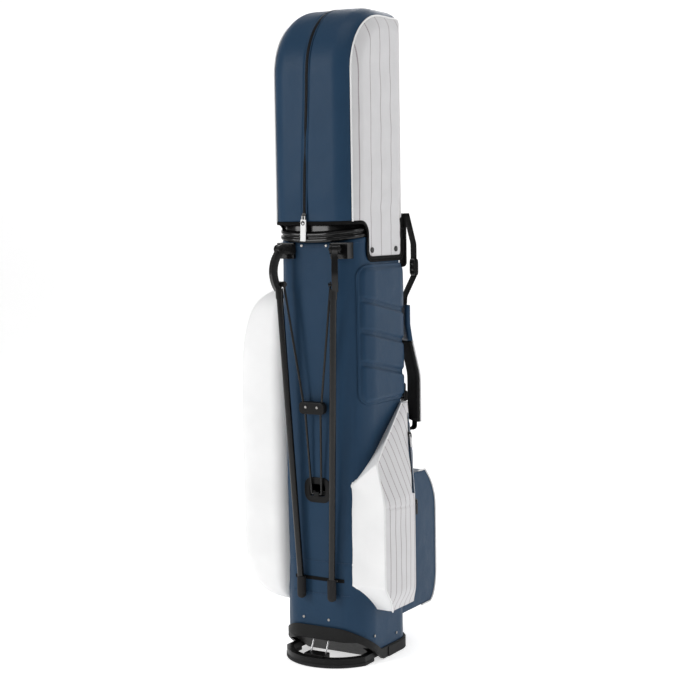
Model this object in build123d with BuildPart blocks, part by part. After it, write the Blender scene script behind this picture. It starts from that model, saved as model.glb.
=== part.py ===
"""Golf stand bag with folding legs, foot pedal, rain hood and shoulder strap.

Frame: origin on the ground under the middle of the tube, +Z up, the leg side faces -Y,
the hip pad is on +X, the large apparel pocket on -X and the ball pocket on +Y.
"""

import math
import os

from build123d import *

os.makedirs("parts", exist_ok=True)

# ---------------------------------------------------------------- driving dimensions (mm)
fit_gap = 0.3  # clearance between neighbouring pieces
running = 0.08  # radial clearance of a pin in its bore

body_width = 194.0
body_depth = 204.0
body_corner = 55.0
body_center_y = -2.0
body_wall = 3.0

cuff_width = body_width - 10.0
cuff_depth = body_depth + 23.0
cuff_corner = 60.0
cuff_center_y = -6.5
cuff_wall = 3.0
rim_front_z = 849.0
rim_smile = 8.0  # rise of the rim from its middle to the sides
rim_rear_rise = 6.0
rim_ridge = 8.0  # height of each of the two rim ridges
rim_groove = 3.0
skirt_bottom = rim_front_z - 79.0
neck_top = rim_front_z + 47.0
neck_inset = 9.0
skirt_gap = 0.9  # between the cuff's skirt and the tube

hood_width = body_width - 1.0
hood_depth = body_depth + 16.0
hood_corner = 45.0
hood_center_y = -6.0
hood_wall = 3.0
hem_rise = 14.0  # hem's lower edge above the middle of the rim
hood_top = 1284.0
hood_front_round = 130.0
hood_rear_round = 24.0
hood_band_half = 85.0  # half width of the navy centre band
hood_piping = 3.0
hem_height = 9.0
hem_lip = 0.8
tongue_front = -58.0
tongue_rear = 72.0
tongue_bottom = rim_front_z - 49.0
tongue_top = rim_front_z + 56.0  # runs up into the side panel
tongue_binding = 4.0
tongue_room = 1.5  # gap between the tongue's binding and the body's binding
body_binding = 3.5
binding_lip = 0.6  # the bindings stand this far proud of the cloth

boot_wall = 3.4
boot_front_top = 73.0
boot_shoulder = (7.0, 64.0)  # point of the upper edge: distance behind the tube's front, height
boot_side = (68.0, 22.0)  # from here to the rear the upper edge is level
boot_front_bottom = 46.0
floor_front = 53.0
floor_rear = 14.0
floor_knee = 70.0  # the slanted floor ends this far behind the tube's front
heel_front = -28.0
heel_bumper_height = 20.0

pedal_half_width = body_width / 2 - 5.5
pedal_front = body_depth / 2 + 39.0
pedal_corner_y = 16.0 - body_depth / 2
pedal_bar = 13.0
pedal_height = 18.0
pedal_sole_height = 6.0
pedal_hinge_y = -18.0
pedal_hinge_z = 9.0
pedal_pin = 6.0
pedal_swing_room = 22.0  # height of the arm recesses above the hinge

wire = 4.0  # push wires
wire_spread = 17.0
wire_inside_y = 5.0 - body_depth / 2
wire_block_y = -10.0 - body_depth / 2
link_top_z = 51.0  # upper end of the pedal's two links, inside the boot
rod = 4.5  # outer leg rods
slot_center_z = 345.0
slot_width = 36.0
slot_height = 24.0
slot_plate_thick = 2.5
yoke_z = 338.0
rod_pivot_y = -7.5 - body_depth / 2
clip_z = 509.0
clip_size = (57.0, 24.0, 11.0)

hinge = (62.0, -26.0 - body_depth / 2, rim_front_z - 31.0)
hinge_skew = 28.0  # degrees the hinge pins are turned in plan, so that the feet spread
leg_tube = 13.0
leg_top = (61.5, -33.5 - body_depth / 2, rim_front_z - 113.0)
leg_foot = (34.0, -13.0 - body_depth / 2, 130.0)
head_thick = 12.0
eyelet_drop = 68.0
hinge_pin = 6.0

right_pocket_face_x = body_width / 2 + 48.0
right_pocket_bottom = 104.0
right_pocket_top = 505.0
left_pocket_face_x = body_width / 2 + 100.0
left_pocket_bottom = 92.0
left_pocket_top = 742.0
left_pocket_front = 12.0 - body_depth / 2
left_pocket_rear = 62.0
ball_pocket_half = 92.0
ball_pocket_face_y = body_depth / 2 + 113.0
ball_pocket_bottom = 67.0
ball_pocket_top = 350.0
small_pocket_half = 72.0
small_pocket_top = 500.0
piping = 4.0

hip_pad_bottom = 512.0
hip_pad_top = rim_front_z - 61.0
hip_pad_thick = 9.0

strap_angle = 50.0  # plan direction of the plane in which the strap hangs
strap_seat = (body_width / 2 - 25.0, body_depth / 2 - 17.0)
webbing_wide = 25.0
webbing_thick = 2.2
strap_pad_wide = 56.0
strap_pad_thick = 11.0

zip_wide = 6.0
zip_thick = 1.6

# ---------------------------------------------------------------- derived values
body_front = body_center_y - body_depth / 2
body_rear = body_center_y + body_depth / 2
body_half = body_width / 2
cuff_front = cuff_center_y - cuff_depth / 2
hood_front = hood_center_y - hood_depth / 2
hood_rear = hood_center_y + hood_depth / 2
rim_radius = (cuff_width ** 2 / 4 + rim_smile ** 2) / (2 * rim_smile)
rim_tilt = math.atan2(rim_rear_rise, cuff_depth)
rim_depth = 2 * rim_ridge + rim_groove
wide = 400.0  # longer than the bag is wide, for cutting extrusions
body_cut = tongue_binding + tongue_room + body_binding


# ---------------------------------------------------------------- outlines
def body_section(gap=0.0, mode=Mode.ADD):
    """Plan outline of the tube, grown by gap."""
    with Locations((0, body_center_y)):
        RectangleRounded(body_width + 2 * gap, body_depth + 2 * gap, body_corner + gap, mode=mode)


def cuff_section(gap=0.0, mode=Mode.ADD):
    """Plan outline of the top cuff, grown by gap."""
    with Locations((0, cuff_center_y)):
        RectangleRounded(cuff_width + 2 * gap, cuff_depth + 2 * gap, cuff_corner + gap, mode=mode)


def hood_section(gap=0.0, mode=Mode.ADD):
    """Plan outline of the rain hood, grown by gap."""
    with Locations((0, hood_center_y)):
        RectangleRounded(hood_width + 2 * gap, hood_depth + 2 * gap, hood_corner + gap, mode=mode)


def boot_inside_outline(gap=0.0):
    """Side view, in y and z, of the room above the boot's floor, raised by gap."""
    with BuildLine() as outline:
        Polyline(
            (body_front - 2, floor_front + gap),
            (body_front + 8, floor_front + gap),
            (body_front + floor_knee, floor_rear + gap),
            (body_rear + 2, floor_rear + gap),
            (body_rear + 2, neck_top),
            (body_front - 2, neck_top),
            close=True,
        )
    make_face(outline.edges())


def rim_rise(x):
    """Rise of the rim's arc at a distance x from its middle."""
    return rim_radius - math.sqrt(rim_radius ** 2 - x ** 2)


def rim_band(top, bottom):
    """Arc-shaped band, seen from the front, between two depths below the rim's edge."""
    half = 150.0
    rise = rim_rise(half)
    with BuildLine() as outline:
        ThreePointArc((-half, rise - top), (0, -top), (half, rise - top))
        Line((half, rise - top), (half, rise - bottom))
        ThreePointArc((half, rise - bottom), (0, -bottom), (-half, rise - bottom))
        Line((-half, rise - bottom), (-half, rise - top))
    make_face(outline.edges())


def rim_plane():
    """Plane across the front of the cuff, tilted so that its normal runs along the rim."""
    normal = (0, -math.cos(rim_tilt), -math.sin(rim_tilt))
    return Plane(origin=(0, cuff_front, rim_front_z), x_dir=(1, 0, 0), z_dir=normal)


def hem_band(low, high):
    """Straight band, seen from the front, between two heights above the middle of the rim."""
    with Locations((0, (low + high) / 2)):
        Rectangle(wide, high - low)


def cuff_opening(gap=0.0, mode=Mode.ADD):
    """Plan outline of the clear mouth inside the cuff's neck and skirt, grown by gap."""
    with BuildSketch(mode=Mode.PRIVATE) as mouth:
        cuff_section(gap - neck_inset - cuff_wall)
        body_section(gap - body_wall - skirt_gap - cuff_wall, Mode.INTERSECT)
    add(mouth.sketch_local, mode=mode)


def hood_profile(gap=0.0):
    """Side view of the hood in y and z, grown by gap."""
    front = hood_front - gap
    rear = hood_rear + gap
    top = hood_top + gap
    low = skirt_bottom
    front_round = hood_front_round + gap
    rear_round = hood_rear_round + gap
    with BuildLine() as outline:
        Line((front, low), (front, top - front_round))
        RadiusArc((front, top - front_round), (front + front_round, top), front_round)
        Line((front + front_round, top), (rear - rear_round, top))
        RadiusArc((rear - rear_round, top), (rear, top - rear_round), rear_round)
        Line((rear, top - rear_round), (rear, low))
        Line((rear, low), (front, low))
    make_face(outline.edges())


def hood_solid(gap):
    """Closed block with the outline of the hood, grown by gap."""
    with BuildPart() as block:
        with BuildSketch(Plane.XY.offset(skirt_bottom)):
            hood_section(gap)
        extrude(amount=hood_top + gap - skirt_bottom)
        with BuildSketch(Plane.YZ):
            hood_profile(gap)
        extrude(amount=wide, both=True, mode=Mode.INTERSECT)
    return block.part


def tongue_outline(gap=0.0):
    """Side view of the panel's tongue in y and z, grown by gap."""
    length = tongue_rear - tongue_front + 2 * gap
    height = tongue_top - tongue_bottom + 2 * gap
    with Locations(((tongue_front + tongue_rear) / 2, (tongue_top + tongue_bottom) / 2)):
        RectangleRounded(length, height, 14 + gap)


def tube_between(start, end, diameter):
    """Round bar between two points."""
    with BuildPart() as bar:
        with BuildLine() as path:
            Line(start, end)
        with BuildSketch(path.line ^ 0):
            Circle(diameter / 2)
        sweep(path=path.line)
    return bar.part


def boot_edge_z(y):
    """Height of the boot's upper edge at a given y, behind its shoulder."""
    share = (y - body_front - boot_shoulder[0]) / (boot_side[0] - boot_shoulder[0])
    return boot_shoulder[1] + (boot_side[1] - boot_shoulder[1]) * min(share, 1)


def along(start, end, share):
    """Point at a share of the way from start to end."""
    return tuple(a + (b - a) * share for a, b in zip(start, end))


def at_height(start, end, z):
    """Point at height z on the line from start to end."""
    return along(start, end, (z - start[2]) / (end[2] - start[2]))


# ---------------------------------------------------------------- tube of the bag
with BuildPart() as body_shell:
    with BuildSketch():
        body_section()
        body_section(-body_wall, Mode.SUBTRACT)
    extrude(amount=neck_top)
    with BuildSketch(Plane.YZ):
        boot_inside_outline(1)
    extrude(amount=wide, both=True, mode=Mode.INTERSECT)
    with BuildSketch(rim_plane()):
        rim_band(rim_depth, 1000)
    extrude(amount=wide, both=True, mode=Mode.INTERSECT)
    with BuildSketch(Plane.YZ):
        tongue_outline(body_cut)
    extrude(amount=wide, both=True, mode=Mode.SUBTRACT)
    with BuildSketch(Plane.XZ.offset(-body_front - body_wall - 1)):
        with Locations((0, slot_center_z)):
            RectangleRounded(slot_width, slot_height, 5)
    extrude(amount=body_wall + 2, mode=Mode.SUBTRACT)

with BuildPart() as side_bindings:
    with BuildSketch(Plane.XY.offset(skirt_bottom)):
        body_section(binding_lip)
        body_section(-body_wall, Mode.SUBTRACT)
    extrude(amount=neck_top - skirt_bottom)
    with BuildSketch(rim_plane()):
        rim_band(rim_depth, 1000)
    extrude(amount=wide, both=True, mode=Mode.INTERSECT)
    with BuildSketch(Plane.YZ):
        tongue_outline(body_cut)
    extrude(amount=wide, both=True, mode=Mode.INTERSECT)
    with BuildSketch(Plane.YZ):
        tongue_outline(tongue_binding + tongue_room)
    extrude(amount=wide, both=True, mode=Mode.SUBTRACT)

stay_thick = 2.5
stay_wide = 10.0
stay_spread = 34.0
stay_front_y = body_front + body_wall + stay_thick / 2
stay_rear_y = body_rear - body_wall - stay_thick / 2
with BuildPart() as stays:
    with BuildSketch(Plane.XY.offset(floor_front + 8)):
        with Locations((-stay_spread, stay_front_y), (stay_spread, stay_front_y), (0, stay_rear_y)):
            Rectangle(stay_wide, stay_thick)
    extrude(amount=skirt_bottom - floor_front - 12)

# ---------------------------------------------------------------- top cuff and dividers
def rim_ring(grow, top, bottom):
    """One moulded ring of the rim between two depths below its edge."""
    with BuildPart() as ring:
        with BuildSketch(Plane.XY.offset(skirt_bottom)):
            cuff_section(grow)
            cuff_opening(0, Mode.SUBTRACT)
        extrude(amount=150)
        with BuildSketch(rim_plane()):
            rim_band(top, bottom)
        extrude(amount=wide, both=True, mode=Mode.INTERSECT)
    return ring.part


with BuildPart() as cuff_skirt:
    with BuildSketch(Plane.XY.offset(skirt_bottom)):
        body_section(-body_wall - skirt_gap)
        body_section(-body_wall - skirt_gap - cuff_wall, Mode.SUBTRACT)
    extrude(amount=100)
    with BuildSketch(rim_plane()):
        rim_band(rim_ridge, 150)
    extrude(amount=wide, both=True, mode=Mode.INTERSECT)

with BuildPart() as cuff_neck:
    with BuildSketch(Plane.XY.offset(skirt_bottom)):
        cuff_section(-neck_inset)
        cuff_section(-neck_inset - cuff_wall, Mode.SUBTRACT)
    extrude(amount=neck_top - skirt_bottom)
    with BuildSketch(rim_plane()):
        rim_band(-150, rim_ridge)
    extrude(amount=wide, both=True, mode=Mode.INTERSECT)

groove_inset = 2.5
lower_ridge_lip = 0.8
with BuildPart() as top_cuff:
    add(rim_ring(0, 0, rim_ridge))
    add(rim_ring(-groove_inset, rim_ridge, rim_ridge + rim_groove))
    add(rim_ring(lower_ridge_lip, rim_ridge + rim_groove, rim_depth))
    add(cuff_skirt.part)
    add(cuff_neck.part)

divider_bar = 7.0
divider_y = (cuff_center_y - 34, cuff_center_y + 34)
divider_bottom = rim_front_z - rim_depth + 6
with BuildPart() as divider_grid:
    with BuildSketch(Plane.XY.offset(divider_bottom)):
        with Locations(*[(0, y) for y in divider_y]):
            Rectangle(body_width, divider_bar)
        Rectangle(divider_bar, 2 * body_depth)
        cuff_opening(0, Mode.INTERSECT)
    extrude(amount=24)

with BuildPart() as divider_panels:
    with BuildSketch(Plane.XY.offset(floor_front + 6)):
        with Locations(*[(0, y) for y in divider_y]):
            Rectangle(body_width - 2 * body_wall - 2 * cuff_wall - 4, 1.8)
    extrude(amount=divider_bottom - floor_front - 6)

# ---------------------------------------------------------------- boot, heel and pedal
boot_outer = fit_gap + boot_wall
pedal_ring_clear = 1.2
arm_recess = pedal_bar + 2 * pedal_ring_clear
arm_recess_front = -72.0
arm_recess_rear = -7.0
link_slot = 24.0

with BuildPart() as boot_inside:
    with BuildSketch():
        body_section(fit_gap)
    extrude(amount=boot_front_top + 5)
    with BuildSketch(Plane.YZ):
        boot_inside_outline()
    extrude(amount=wide, both=True, mode=Mode.INTERSECT)

arm_x = pedal_half_width - pedal_bar / 2
recess_y = (arm_recess_front + arm_recess_rear) / 2
recess_length = arm_recess_rear - arm_recess_front
recess_top = pedal_hinge_z + pedal_swing_room
with BuildPart() as arm_housings:
    with BuildSketch():
        with Locations((-arm_x, recess_y), (arm_x, recess_y)):
            Rectangle(arm_recess + 6, recess_length + 6)
        body_section(-body_wall - fit_gap, Mode.INTERSECT)
    extrude(amount=recess_top + 3)
    with BuildSketch(Plane.YZ):
        with BuildLine():
            Polyline(
                (body_front + 9, boot_front_bottom),
                (heel_front, 0),
                (0, 0),
                (0, boot_front_top),
                (body_front + 9, boot_front_top),
                close=True,
            )
        make_face()
    extrude(amount=wide, both=True, mode=Mode.INTERSECT)

with BuildPart() as base_boot:
    with BuildSketch():
        body_section(boot_outer)
    extrude(amount=boot_front_top + 5)
    with BuildSketch(Plane.YZ):
        with BuildLine():
            Polyline(
                (body_front - boot_outer, boot_front_top),
                (body_front - boot_outer, boot_front_bottom),
                (body_front + 9, boot_front_bottom),
                (heel_front, 0),
                (body_rear + boot_outer, 0),
                (body_rear + boot_outer, boot_side[1]),
                (body_front + boot_side[0], boot_side[1]),
                (body_front + boot_shoulder[0], boot_shoulder[1]),
                close=True,
            )
        make_face()
    extrude(amount=wide, both=True, mode=Mode.INTERSECT)
    add(boot_inside.part, mode=Mode.SUBTRACT)
    # housed recesses for the pedal's arms
    add(arm_housings.part)
    with BuildSketch():
        with Locations((-arm_x, recess_y), (arm_x, recess_y)):
            Rectangle(arm_recess, recess_length)
    extrude(amount=recess_top, mode=Mode.SUBTRACT)
    # slots through the floor for the pedal's links
    with BuildSketch():
        slot_y = body_front - 2.5 + link_slot / 2
        with Locations((-wire_spread, slot_y), (wire_spread, slot_y)):
            Rectangle(wire + 4, link_slot)
    extrude(amount=boot_front_top - 4, mode=Mode.SUBTRACT)
    # seat of the rubber heel bumper
    with BuildSketch():
        body_section(boot_outer + 1)
        body_section(boot_outer - 1.8, Mode.SUBTRACT)
        with Locations((0, wide / 2 - 12)):
            Rectangle(wide, wide, mode=Mode.INTERSECT)
    extrude(amount=heel_bumper_height, mode=Mode.SUBTRACT)
    # bores for the pedal's pins
    with BuildSketch(Plane.YZ):
        with Locations((pedal_hinge_y, pedal_hinge_z)):
            Circle(pedal_pin / 2)
    extrude(amount=body_half + 2, both=True, mode=Mode.SUBTRACT)

with BuildPart() as heel_bumper:
    with BuildSketch():
        body_section(boot_outer + 1.4)
        body_section(boot_outer - 1.8, Mode.SUBTRACT)
        with Locations((0, wide / 2 - 10)):
            Rectangle(wide, wide, mode=Mode.INTERSECT)
    extrude(amount=heel_bumper_height)

with BuildPart() as pedal_pins:
    for side in (-1, 1):
        with BuildSketch(Plane.YZ.offset(side * (body_half - 0.5))):
            with Locations((pedal_hinge_y, pedal_hinge_z)):
                Circle(pedal_pin / 2)
        extrude(amount=-side * 26)


def pedal_outline(inset):
    """Plan outline of the pedal ring, moved inward by inset."""
    half = pedal_half_width - inset
    with BuildLine() as outline:
        ThreePointArc(
            (-half, pedal_corner_y + inset * 0.4),
            (0, -pedal_front + inset),
            (half, pedal_corner_y + inset * 0.4),
        )
        Polyline(
            (half, pedal_corner_y + inset * 0.4),
            (half, pedal_hinge_y),
            (-half, pedal_hinge_y),
            (-half, pedal_corner_y + inset * 0.4),
        )
    make_face(outline.edges())


with BuildPart() as pedal_frame:
    with BuildSketch(Plane.XY.offset(pedal_sole_height)):
        pedal_outline(0)
    extrude(amount=pedal_height - pedal_sole_height)
    with BuildSketch():
        pedal_outline(pedal_bar)
    extrude(amount=pedal_height + 1, mode=Mode.SUBTRACT)
    # rounded arm ends around the hinge pins, full height
    for side in (-1, 1):
        with BuildSketch(Plane.YZ.offset(side * (pedal_half_width - pedal_bar))):
            with Locations((pedal_hinge_y, pedal_hinge_z)):
                Circle(pedal_hinge_z - 1)
        extrude(amount=side * pedal_bar)
    with BuildSketch(Plane.YZ):
        with Locations((pedal_hinge_y, pedal_hinge_z)):
            Circle(pedal_pin / 2 + running)
    extrude(amount=wide, both=True, mode=Mode.SUBTRACT)

with BuildPart() as pedal_sole:
    with BuildSketch():
        pedal_outline(-0.8)
        with Locations((0, -wide / 2 + pedal_hinge_y - 34)):
            Rectangle(wide, wide, mode=Mode.INTERSECT)
    extrude(amount=pedal_sole_height)
    with BuildSketch():
        pedal_outline(pedal_bar + 0.8)
    extrude(amount=pedal_sole_height, mode=Mode.SUBTRACT)

link_path = (
    (wire_block_y, pedal_sole_height + 3),
    (wire_block_y, pedal_height + 6),
    (wire_inside_y, link_top_z),
)
with BuildPart() as pedal_links:
    for side in (-1, 1):
        with BuildLine() as link_line:
            FilletPolyline(*[(side * wire_spread, y, z) for y, z in link_path], radius=6)
        with BuildSketch(link_line.line ^ 0):
            Circle(wire / 2)
        sweep(path=link_line.line)

block_depth = 26.0
with BuildPart() as wire_block:
    with BuildSketch(Plane.XY.offset(pedal_sole_height)):
        with Locations((0, wire_block_y + 6 - block_depth / 2)):
            RectangleRounded(46, block_depth, 3)
    extrude(amount=pedal_height + 4 - pedal_sole_height)
    add(pedal_frame.part, mode=Mode.SUBTRACT)
    add(pedal_links.part, mode=Mode.SUBTRACT)

# ---------------------------------------------------------------- push wires, yoke and slot plate
with BuildPart() as push_wires:
    for side in (-1, 1):
        low = (side * wire_spread, wire_inside_y, link_top_z + 8)
        high = (side * wire_spread, wire_inside_y, yoke_z + 4)
        add(tube_between(low, high, wire))

yoke_pin = 3.0
with BuildPart() as wire_yoke:
    with BuildSketch(Plane.XY.offset(yoke_z - 4)):
        with Locations((0, wire_inside_y)):
            RectangleRounded(2 * wire_spread + 10, 7, 2)
        with Locations((0, (rod_pivot_y + wire_inside_y) / 2 - 1)):
            Rectangle(12, wire_inside_y - rod_pivot_y + 3)
    extrude(amount=8)
    with BuildSketch(Plane.YZ):
        with Locations((rod_pivot_y, yoke_z)):
            Circle(yoke_pin / 2 + running)
    extrude(amount=10, both=True, mode=Mode.SUBTRACT)
    add(push_wires.part, mode=Mode.SUBTRACT)

with BuildPart() as slot_plate:
    with BuildSketch(Plane.XZ.offset(-body_front)):
        with Locations((0, slot_center_z)):
            RectangleRounded(60, 50, 18)
            RectangleRounded(slot_width, slot_height, 5, mode=Mode.SUBTRACT)
    extrude(amount=slot_plate_thick)
    fillet(slot_plate.faces().sort_by(Axis.Y)[0].outer_wire().edges(), 1.4)

# ---------------------------------------------------------------- leg hinges
skew = math.radians(hinge_skew)
pin_dir = Vector(math.cos(skew), math.sin(skew), 0)
out_dir = Vector(math.sin(skew), -math.cos(skew), 0)


def hinge_plane(shift=0.0):
    """Plane across the right hinge pin: x points out of the bag, y points up."""
    origin = Vector(*hinge) + pin_dir * shift
    return Plane(origin=origin, x_dir=out_dir, z_dir=-pin_dir)


def hinge_point(outward, up, shift):
    """World point given in the right hinge's own directions."""
    point = Vector(*hinge) + out_dir * outward + pin_dir * shift
    return (point.X, point.Y, point.Z + up)


eyelet_out = -1.0
eyelet_shift = -9.5
eyelet = hinge_point(eyelet_out, -eyelet_drop, eyelet_shift)
head_half = head_thick / 2

with BuildPart() as leg_bracket_right:
    with BuildSketch(Plane.XY.offset(hinge[2] - 19)):
        with Locations((hinge[0] - 1, -98)):
            Rectangle(38, 28)
    extrude(amount=31)
    for shift in (head_half + fit_gap, -head_half - fit_gap - 4):
        with BuildSketch(hinge_plane(shift + 4)):
            Circle(9.5)
            with Locations((-14, 0)):
                Rectangle(28, 19)
        extrude(amount=4)
    with BuildSketch(Plane.XY):
        body_section(fit_gap)
    extrude(amount=wide * 3, mode=Mode.SUBTRACT)
    with BuildSketch(hinge_plane(20)):
        Circle(hinge_pin / 2)
    extrude(amount=40, mode=Mode.SUBTRACT)
    # swinging room for the leg's knuckle
    with BuildSketch(hinge_plane(head_half + fit_gap)):
        Circle(10)
    extrude(amount=head_thick + 2 * fit_gap, mode=Mode.SUBTRACT)

with BuildPart() as pin_right:
    with BuildSketch(hinge_plane(head_half + 6)):
        Circle(hinge_pin / 2)
    extrude(amount=head_thick + 12)

with BuildPart() as hinge_pins:
    add(pin_right.part)
    mirror(pin_right.part, about=Plane.YZ)

# ---------------------------------------------------------------- legs
collar = 15.5
collar_bottom = 722.0


def leg_point(z):
    """Point at height z on the right leg's tube."""
    return at_height(leg_foot, leg_top, z)


with BuildPart() as leg_head_right:
    with BuildSketch(hinge_plane(head_half)):
        with BuildLine() as bow:
            ThreePointArc((0, -2), (16, -36), (6.5, -78))
        trace(bow.line, line_width=13)
        Circle(8.6)
        with Locations((eyelet_out, -eyelet_drop)):
            Circle(5.5)
        with Locations((eyelet_out + 6, -eyelet_drop)):
            Rectangle(12, 9)
    extrude(amount=head_thick)
    with BuildSketch(hinge_plane(head_half)):
        Circle(hinge_pin / 2 + running)
    extrude(amount=head_thick, mode=Mode.SUBTRACT)
    with BuildSketch(hinge_plane(-head_half)):
        with Locations((eyelet_out, -eyelet_drop)):
            Circle(2.5)
    extrude(amount=6.5)
    with BuildSketch(hinge_plane(-head_half - 6.3)):
        with Locations((eyelet_out, -eyelet_drop)):
            Circle(4)
    extrude(amount=1.4)
    add(tube_between(leg_point(collar_bottom + 20), leg_point(collar_bottom), collar))
    add(tube_between(leg_top, leg_point(collar_bottom - 1), leg_tube), mode=Mode.SUBTRACT)

foot_bottom = 128.0
foot_top = 172.0
with BuildPart() as leg_tube_right:
    add(tube_between(leg_top, leg_point(foot_bottom + 10), leg_tube))

foot_cap = 17.5
with BuildPart() as leg_foot_right:
    with BuildSketch(Plane.XY.offset(foot_bottom)):
        with Locations(leg_point((foot_bottom + foot_top) / 2)[:2]):
            Circle(foot_cap / 2)
    extrude(amount=foot_top - foot_bottom)
    fillet(leg_foot_right.edges().group_by(Axis.Z)[0], 7)
    chamfer(leg_foot_right.edges().group_by(Axis.Z)[-1], 1)
    add(leg_tube_right.part, mode=Mode.SUBTRACT)

# ---------------------------------------------------------------- outer rods and their clip
rod_pivot = (0.0, rod_pivot_y, yoke_z)
rod_slope = (eyelet[1] - rod_pivot_y) / (eyelet[2] - yoke_z)


def rod_y(z):
    """Depth of the plane in which the rods lie, at height z."""
    return rod_pivot_y + (z - yoke_z) * rod_slope


wire_low_x = 11.0
wire_high_x = 17.5
tip_x = 19.5
tip_z = 509.0
clip_low = clip_z - clip_size[1] / 2
rod_tip = (tip_x, rod_y(tip_z), tip_z)

with BuildPart() as lower_wires:
    for side in (-1, 1):
        low = (side * wire_low_x, rod_pivot_y, yoke_z)
        high = (side * wire_high_x, rod_y(clip_low + 3), clip_low + 3)
        add(tube_between(low, high, rod))
    with BuildSketch(Plane.YZ):
        with Locations((rod_pivot_y, yoke_z)):
            Circle(yoke_pin / 2)
    extrude(amount=wire_low_x, both=True)

with BuildPart() as wire_clip:
    clip_dir = Vector(0, rod_slope, 1).normalized()
    clip_plane = Plane(
        origin=(0, rod_y(clip_z), clip_z),
        x_dir=(1, 0, 0),
        z_dir=Vector(1, 0, 0).cross(clip_dir),
    )
    with BuildSketch(clip_plane.offset(-clip_size[2] / 2)):
        RectangleRounded(clip_size[0], clip_size[1], 8)
    extrude(amount=clip_size[2])
    fillet(wire_clip.faces().sort_by(Axis.Y)[0].outer_wire().edges(), 1.6)
    for side in (-1, 1):
        low = (side * rod_tip[0], rod_y(clip_low + 6), clip_low + 6)
        high = (side * eyelet[0], eyelet[1], eyelet[2])
        start = at_height(low, high, low[2])
        add(tube_between(start, at_height(start, high, clip_z + 20), rod + 2.6), mode=Mode.SUBTRACT)
    add(lower_wires.part, mode=Mode.SUBTRACT)

with BuildPart() as clip_rivets:
    with BuildSketch(clip_plane.offset(clip_size[2] / 2)):
        with Locations((-13, 2), (13, 2)):
            Circle(2.8)
    extrude(amount=1.3)
    fillet(clip_rivets.faces().sort_by(Axis.Y)[:2].edges().group_by(Axis.Y)[0], 0.8)

with BuildPart() as rod_right:
    with BuildSketch(hinge_plane(eyelet_shift + 1.5)):
        with Locations((eyelet_out, -eyelet_drop)):
            Circle(6)
            Circle(2.7, mode=Mode.SUBTRACT)
    extrude(amount=3)
    below_ring = at_height(rod_tip, eyelet, eyelet[2] - 5)
    add(tube_between(below_ring, rod_tip, rod))

# ---------------------------------------------------------------- leg keeper strap and rivets
keeper_z = 168.0
with BuildPart() as leg_keeper:
    with BuildSketch(Plane.XY.offset(keeper_z - 3.5)):
        body_section(1.4)
        body_section(0.1, Mode.SUBTRACT)
        with Locations((0, body_front)):
            Rectangle(112, 40, mode=Mode.INTERSECT)
    extrude(amount=7)

with BuildPart() as body_rivets:
    front_spots = ((-28, rim_front_z - 25), (28, rim_front_z - 25), (-38, 87), (20, 87))
    for x, z in front_spots:
        with BuildSketch(Plane.XZ.offset(-body_front)):
            with Locations((x, z)):
                Circle(2.6)
        extrude(amount=1.4)
    with BuildSketch(Plane.XZ.offset(-body_front + 1.4)):
        with Locations((-40, keeper_z), (40, keeper_z)):
            Circle(2.6)
    extrude(amount=1.2)
    for side in (-1, 1):
        with BuildSketch(Plane.YZ.offset(side * body_half)):
            with Locations(*[(y, boot_edge_z(y) + 16) for y in (body_front + 46, 30)]):
                Circle(2.6)
        extrude(amount=side * 1.4)

# ---------------------------------------------------------------- hood
hood_outer = hood_solid(0)
hood_inner = hood_solid(-hood_wall)

with BuildPart() as hood_band:
    add(hood_outer)
    add(hood_inner, mode=Mode.SUBTRACT)
    with BuildSketch():
        Rectangle(2 * hood_band_half, wide)
    extrude(amount=hood_top, mode=Mode.INTERSECT)
    with BuildSketch(rim_plane()):
        hem_band(hem_rise + hem_height, hood_top)
    extrude(amount=wide, both=True, mode=Mode.INTERSECT)

with BuildPart() as hood_tongue:
    with BuildSketch(Plane.XY.offset(skirt_bottom)):
        hood_section()
        hood_section(-hood_wall, Mode.SUBTRACT)
    extrude(amount=tongue_top - 15 - skirt_bottom)
    with BuildSketch(Plane.YZ):
        tongue_outline()
    extrude(amount=wide, mode=Mode.INTERSECT)

with BuildPart() as hood_side_right:
    add(hood_outer)
    add(hood_inner, mode=Mode.SUBTRACT)
    with BuildSketch(Plane.YZ.offset(hood_band_half + hood_piping)):
        with Locations((0, hood_top / 2)):
            Rectangle(wide, hood_top)
    extrude(amount=wide, mode=Mode.INTERSECT)
    with BuildSketch(rim_plane()):
        hem_band(hem_rise + hem_height, hood_top)
    extrude(amount=wide, both=True, mode=Mode.INTERSECT)
    add(hood_tongue.part)

with BuildPart() as hood_side_left:
    mirror(hood_side_right.part, about=Plane.YZ)

with BuildPart() as hood_pipings:
    add(hood_solid(1.2))
    add(hood_inner, mode=Mode.SUBTRACT)
    with BuildSketch():
        with Locations((-hood_band_half - hood_piping / 2, 0), (hood_band_half + hood_piping / 2, 0)):
            Rectangle(hood_piping, wide)
    extrude(amount=hood_top * 2, mode=Mode.INTERSECT)
    with BuildSketch(rim_plane()):
        hem_band(hem_rise + hem_height, 2 * hood_top)
    extrude(amount=wide, both=True, mode=Mode.INTERSECT)

with BuildPart() as tongue_edges:
    with BuildSketch(Plane.XY.offset(skirt_bottom)):
        hood_section(hem_lip)
        hood_section(-hood_wall, Mode.SUBTRACT)
    extrude(amount=tongue_top - skirt_bottom)
    with BuildSketch(rim_plane()):
        hem_band(-wide, hem_rise + hem_height)
    extrude(amount=wide, both=True, mode=Mode.INTERSECT)
    with BuildSketch(Plane.YZ):
        tongue_outline(tongue_binding)
    extrude(amount=wide, both=True, mode=Mode.INTERSECT)

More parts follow.
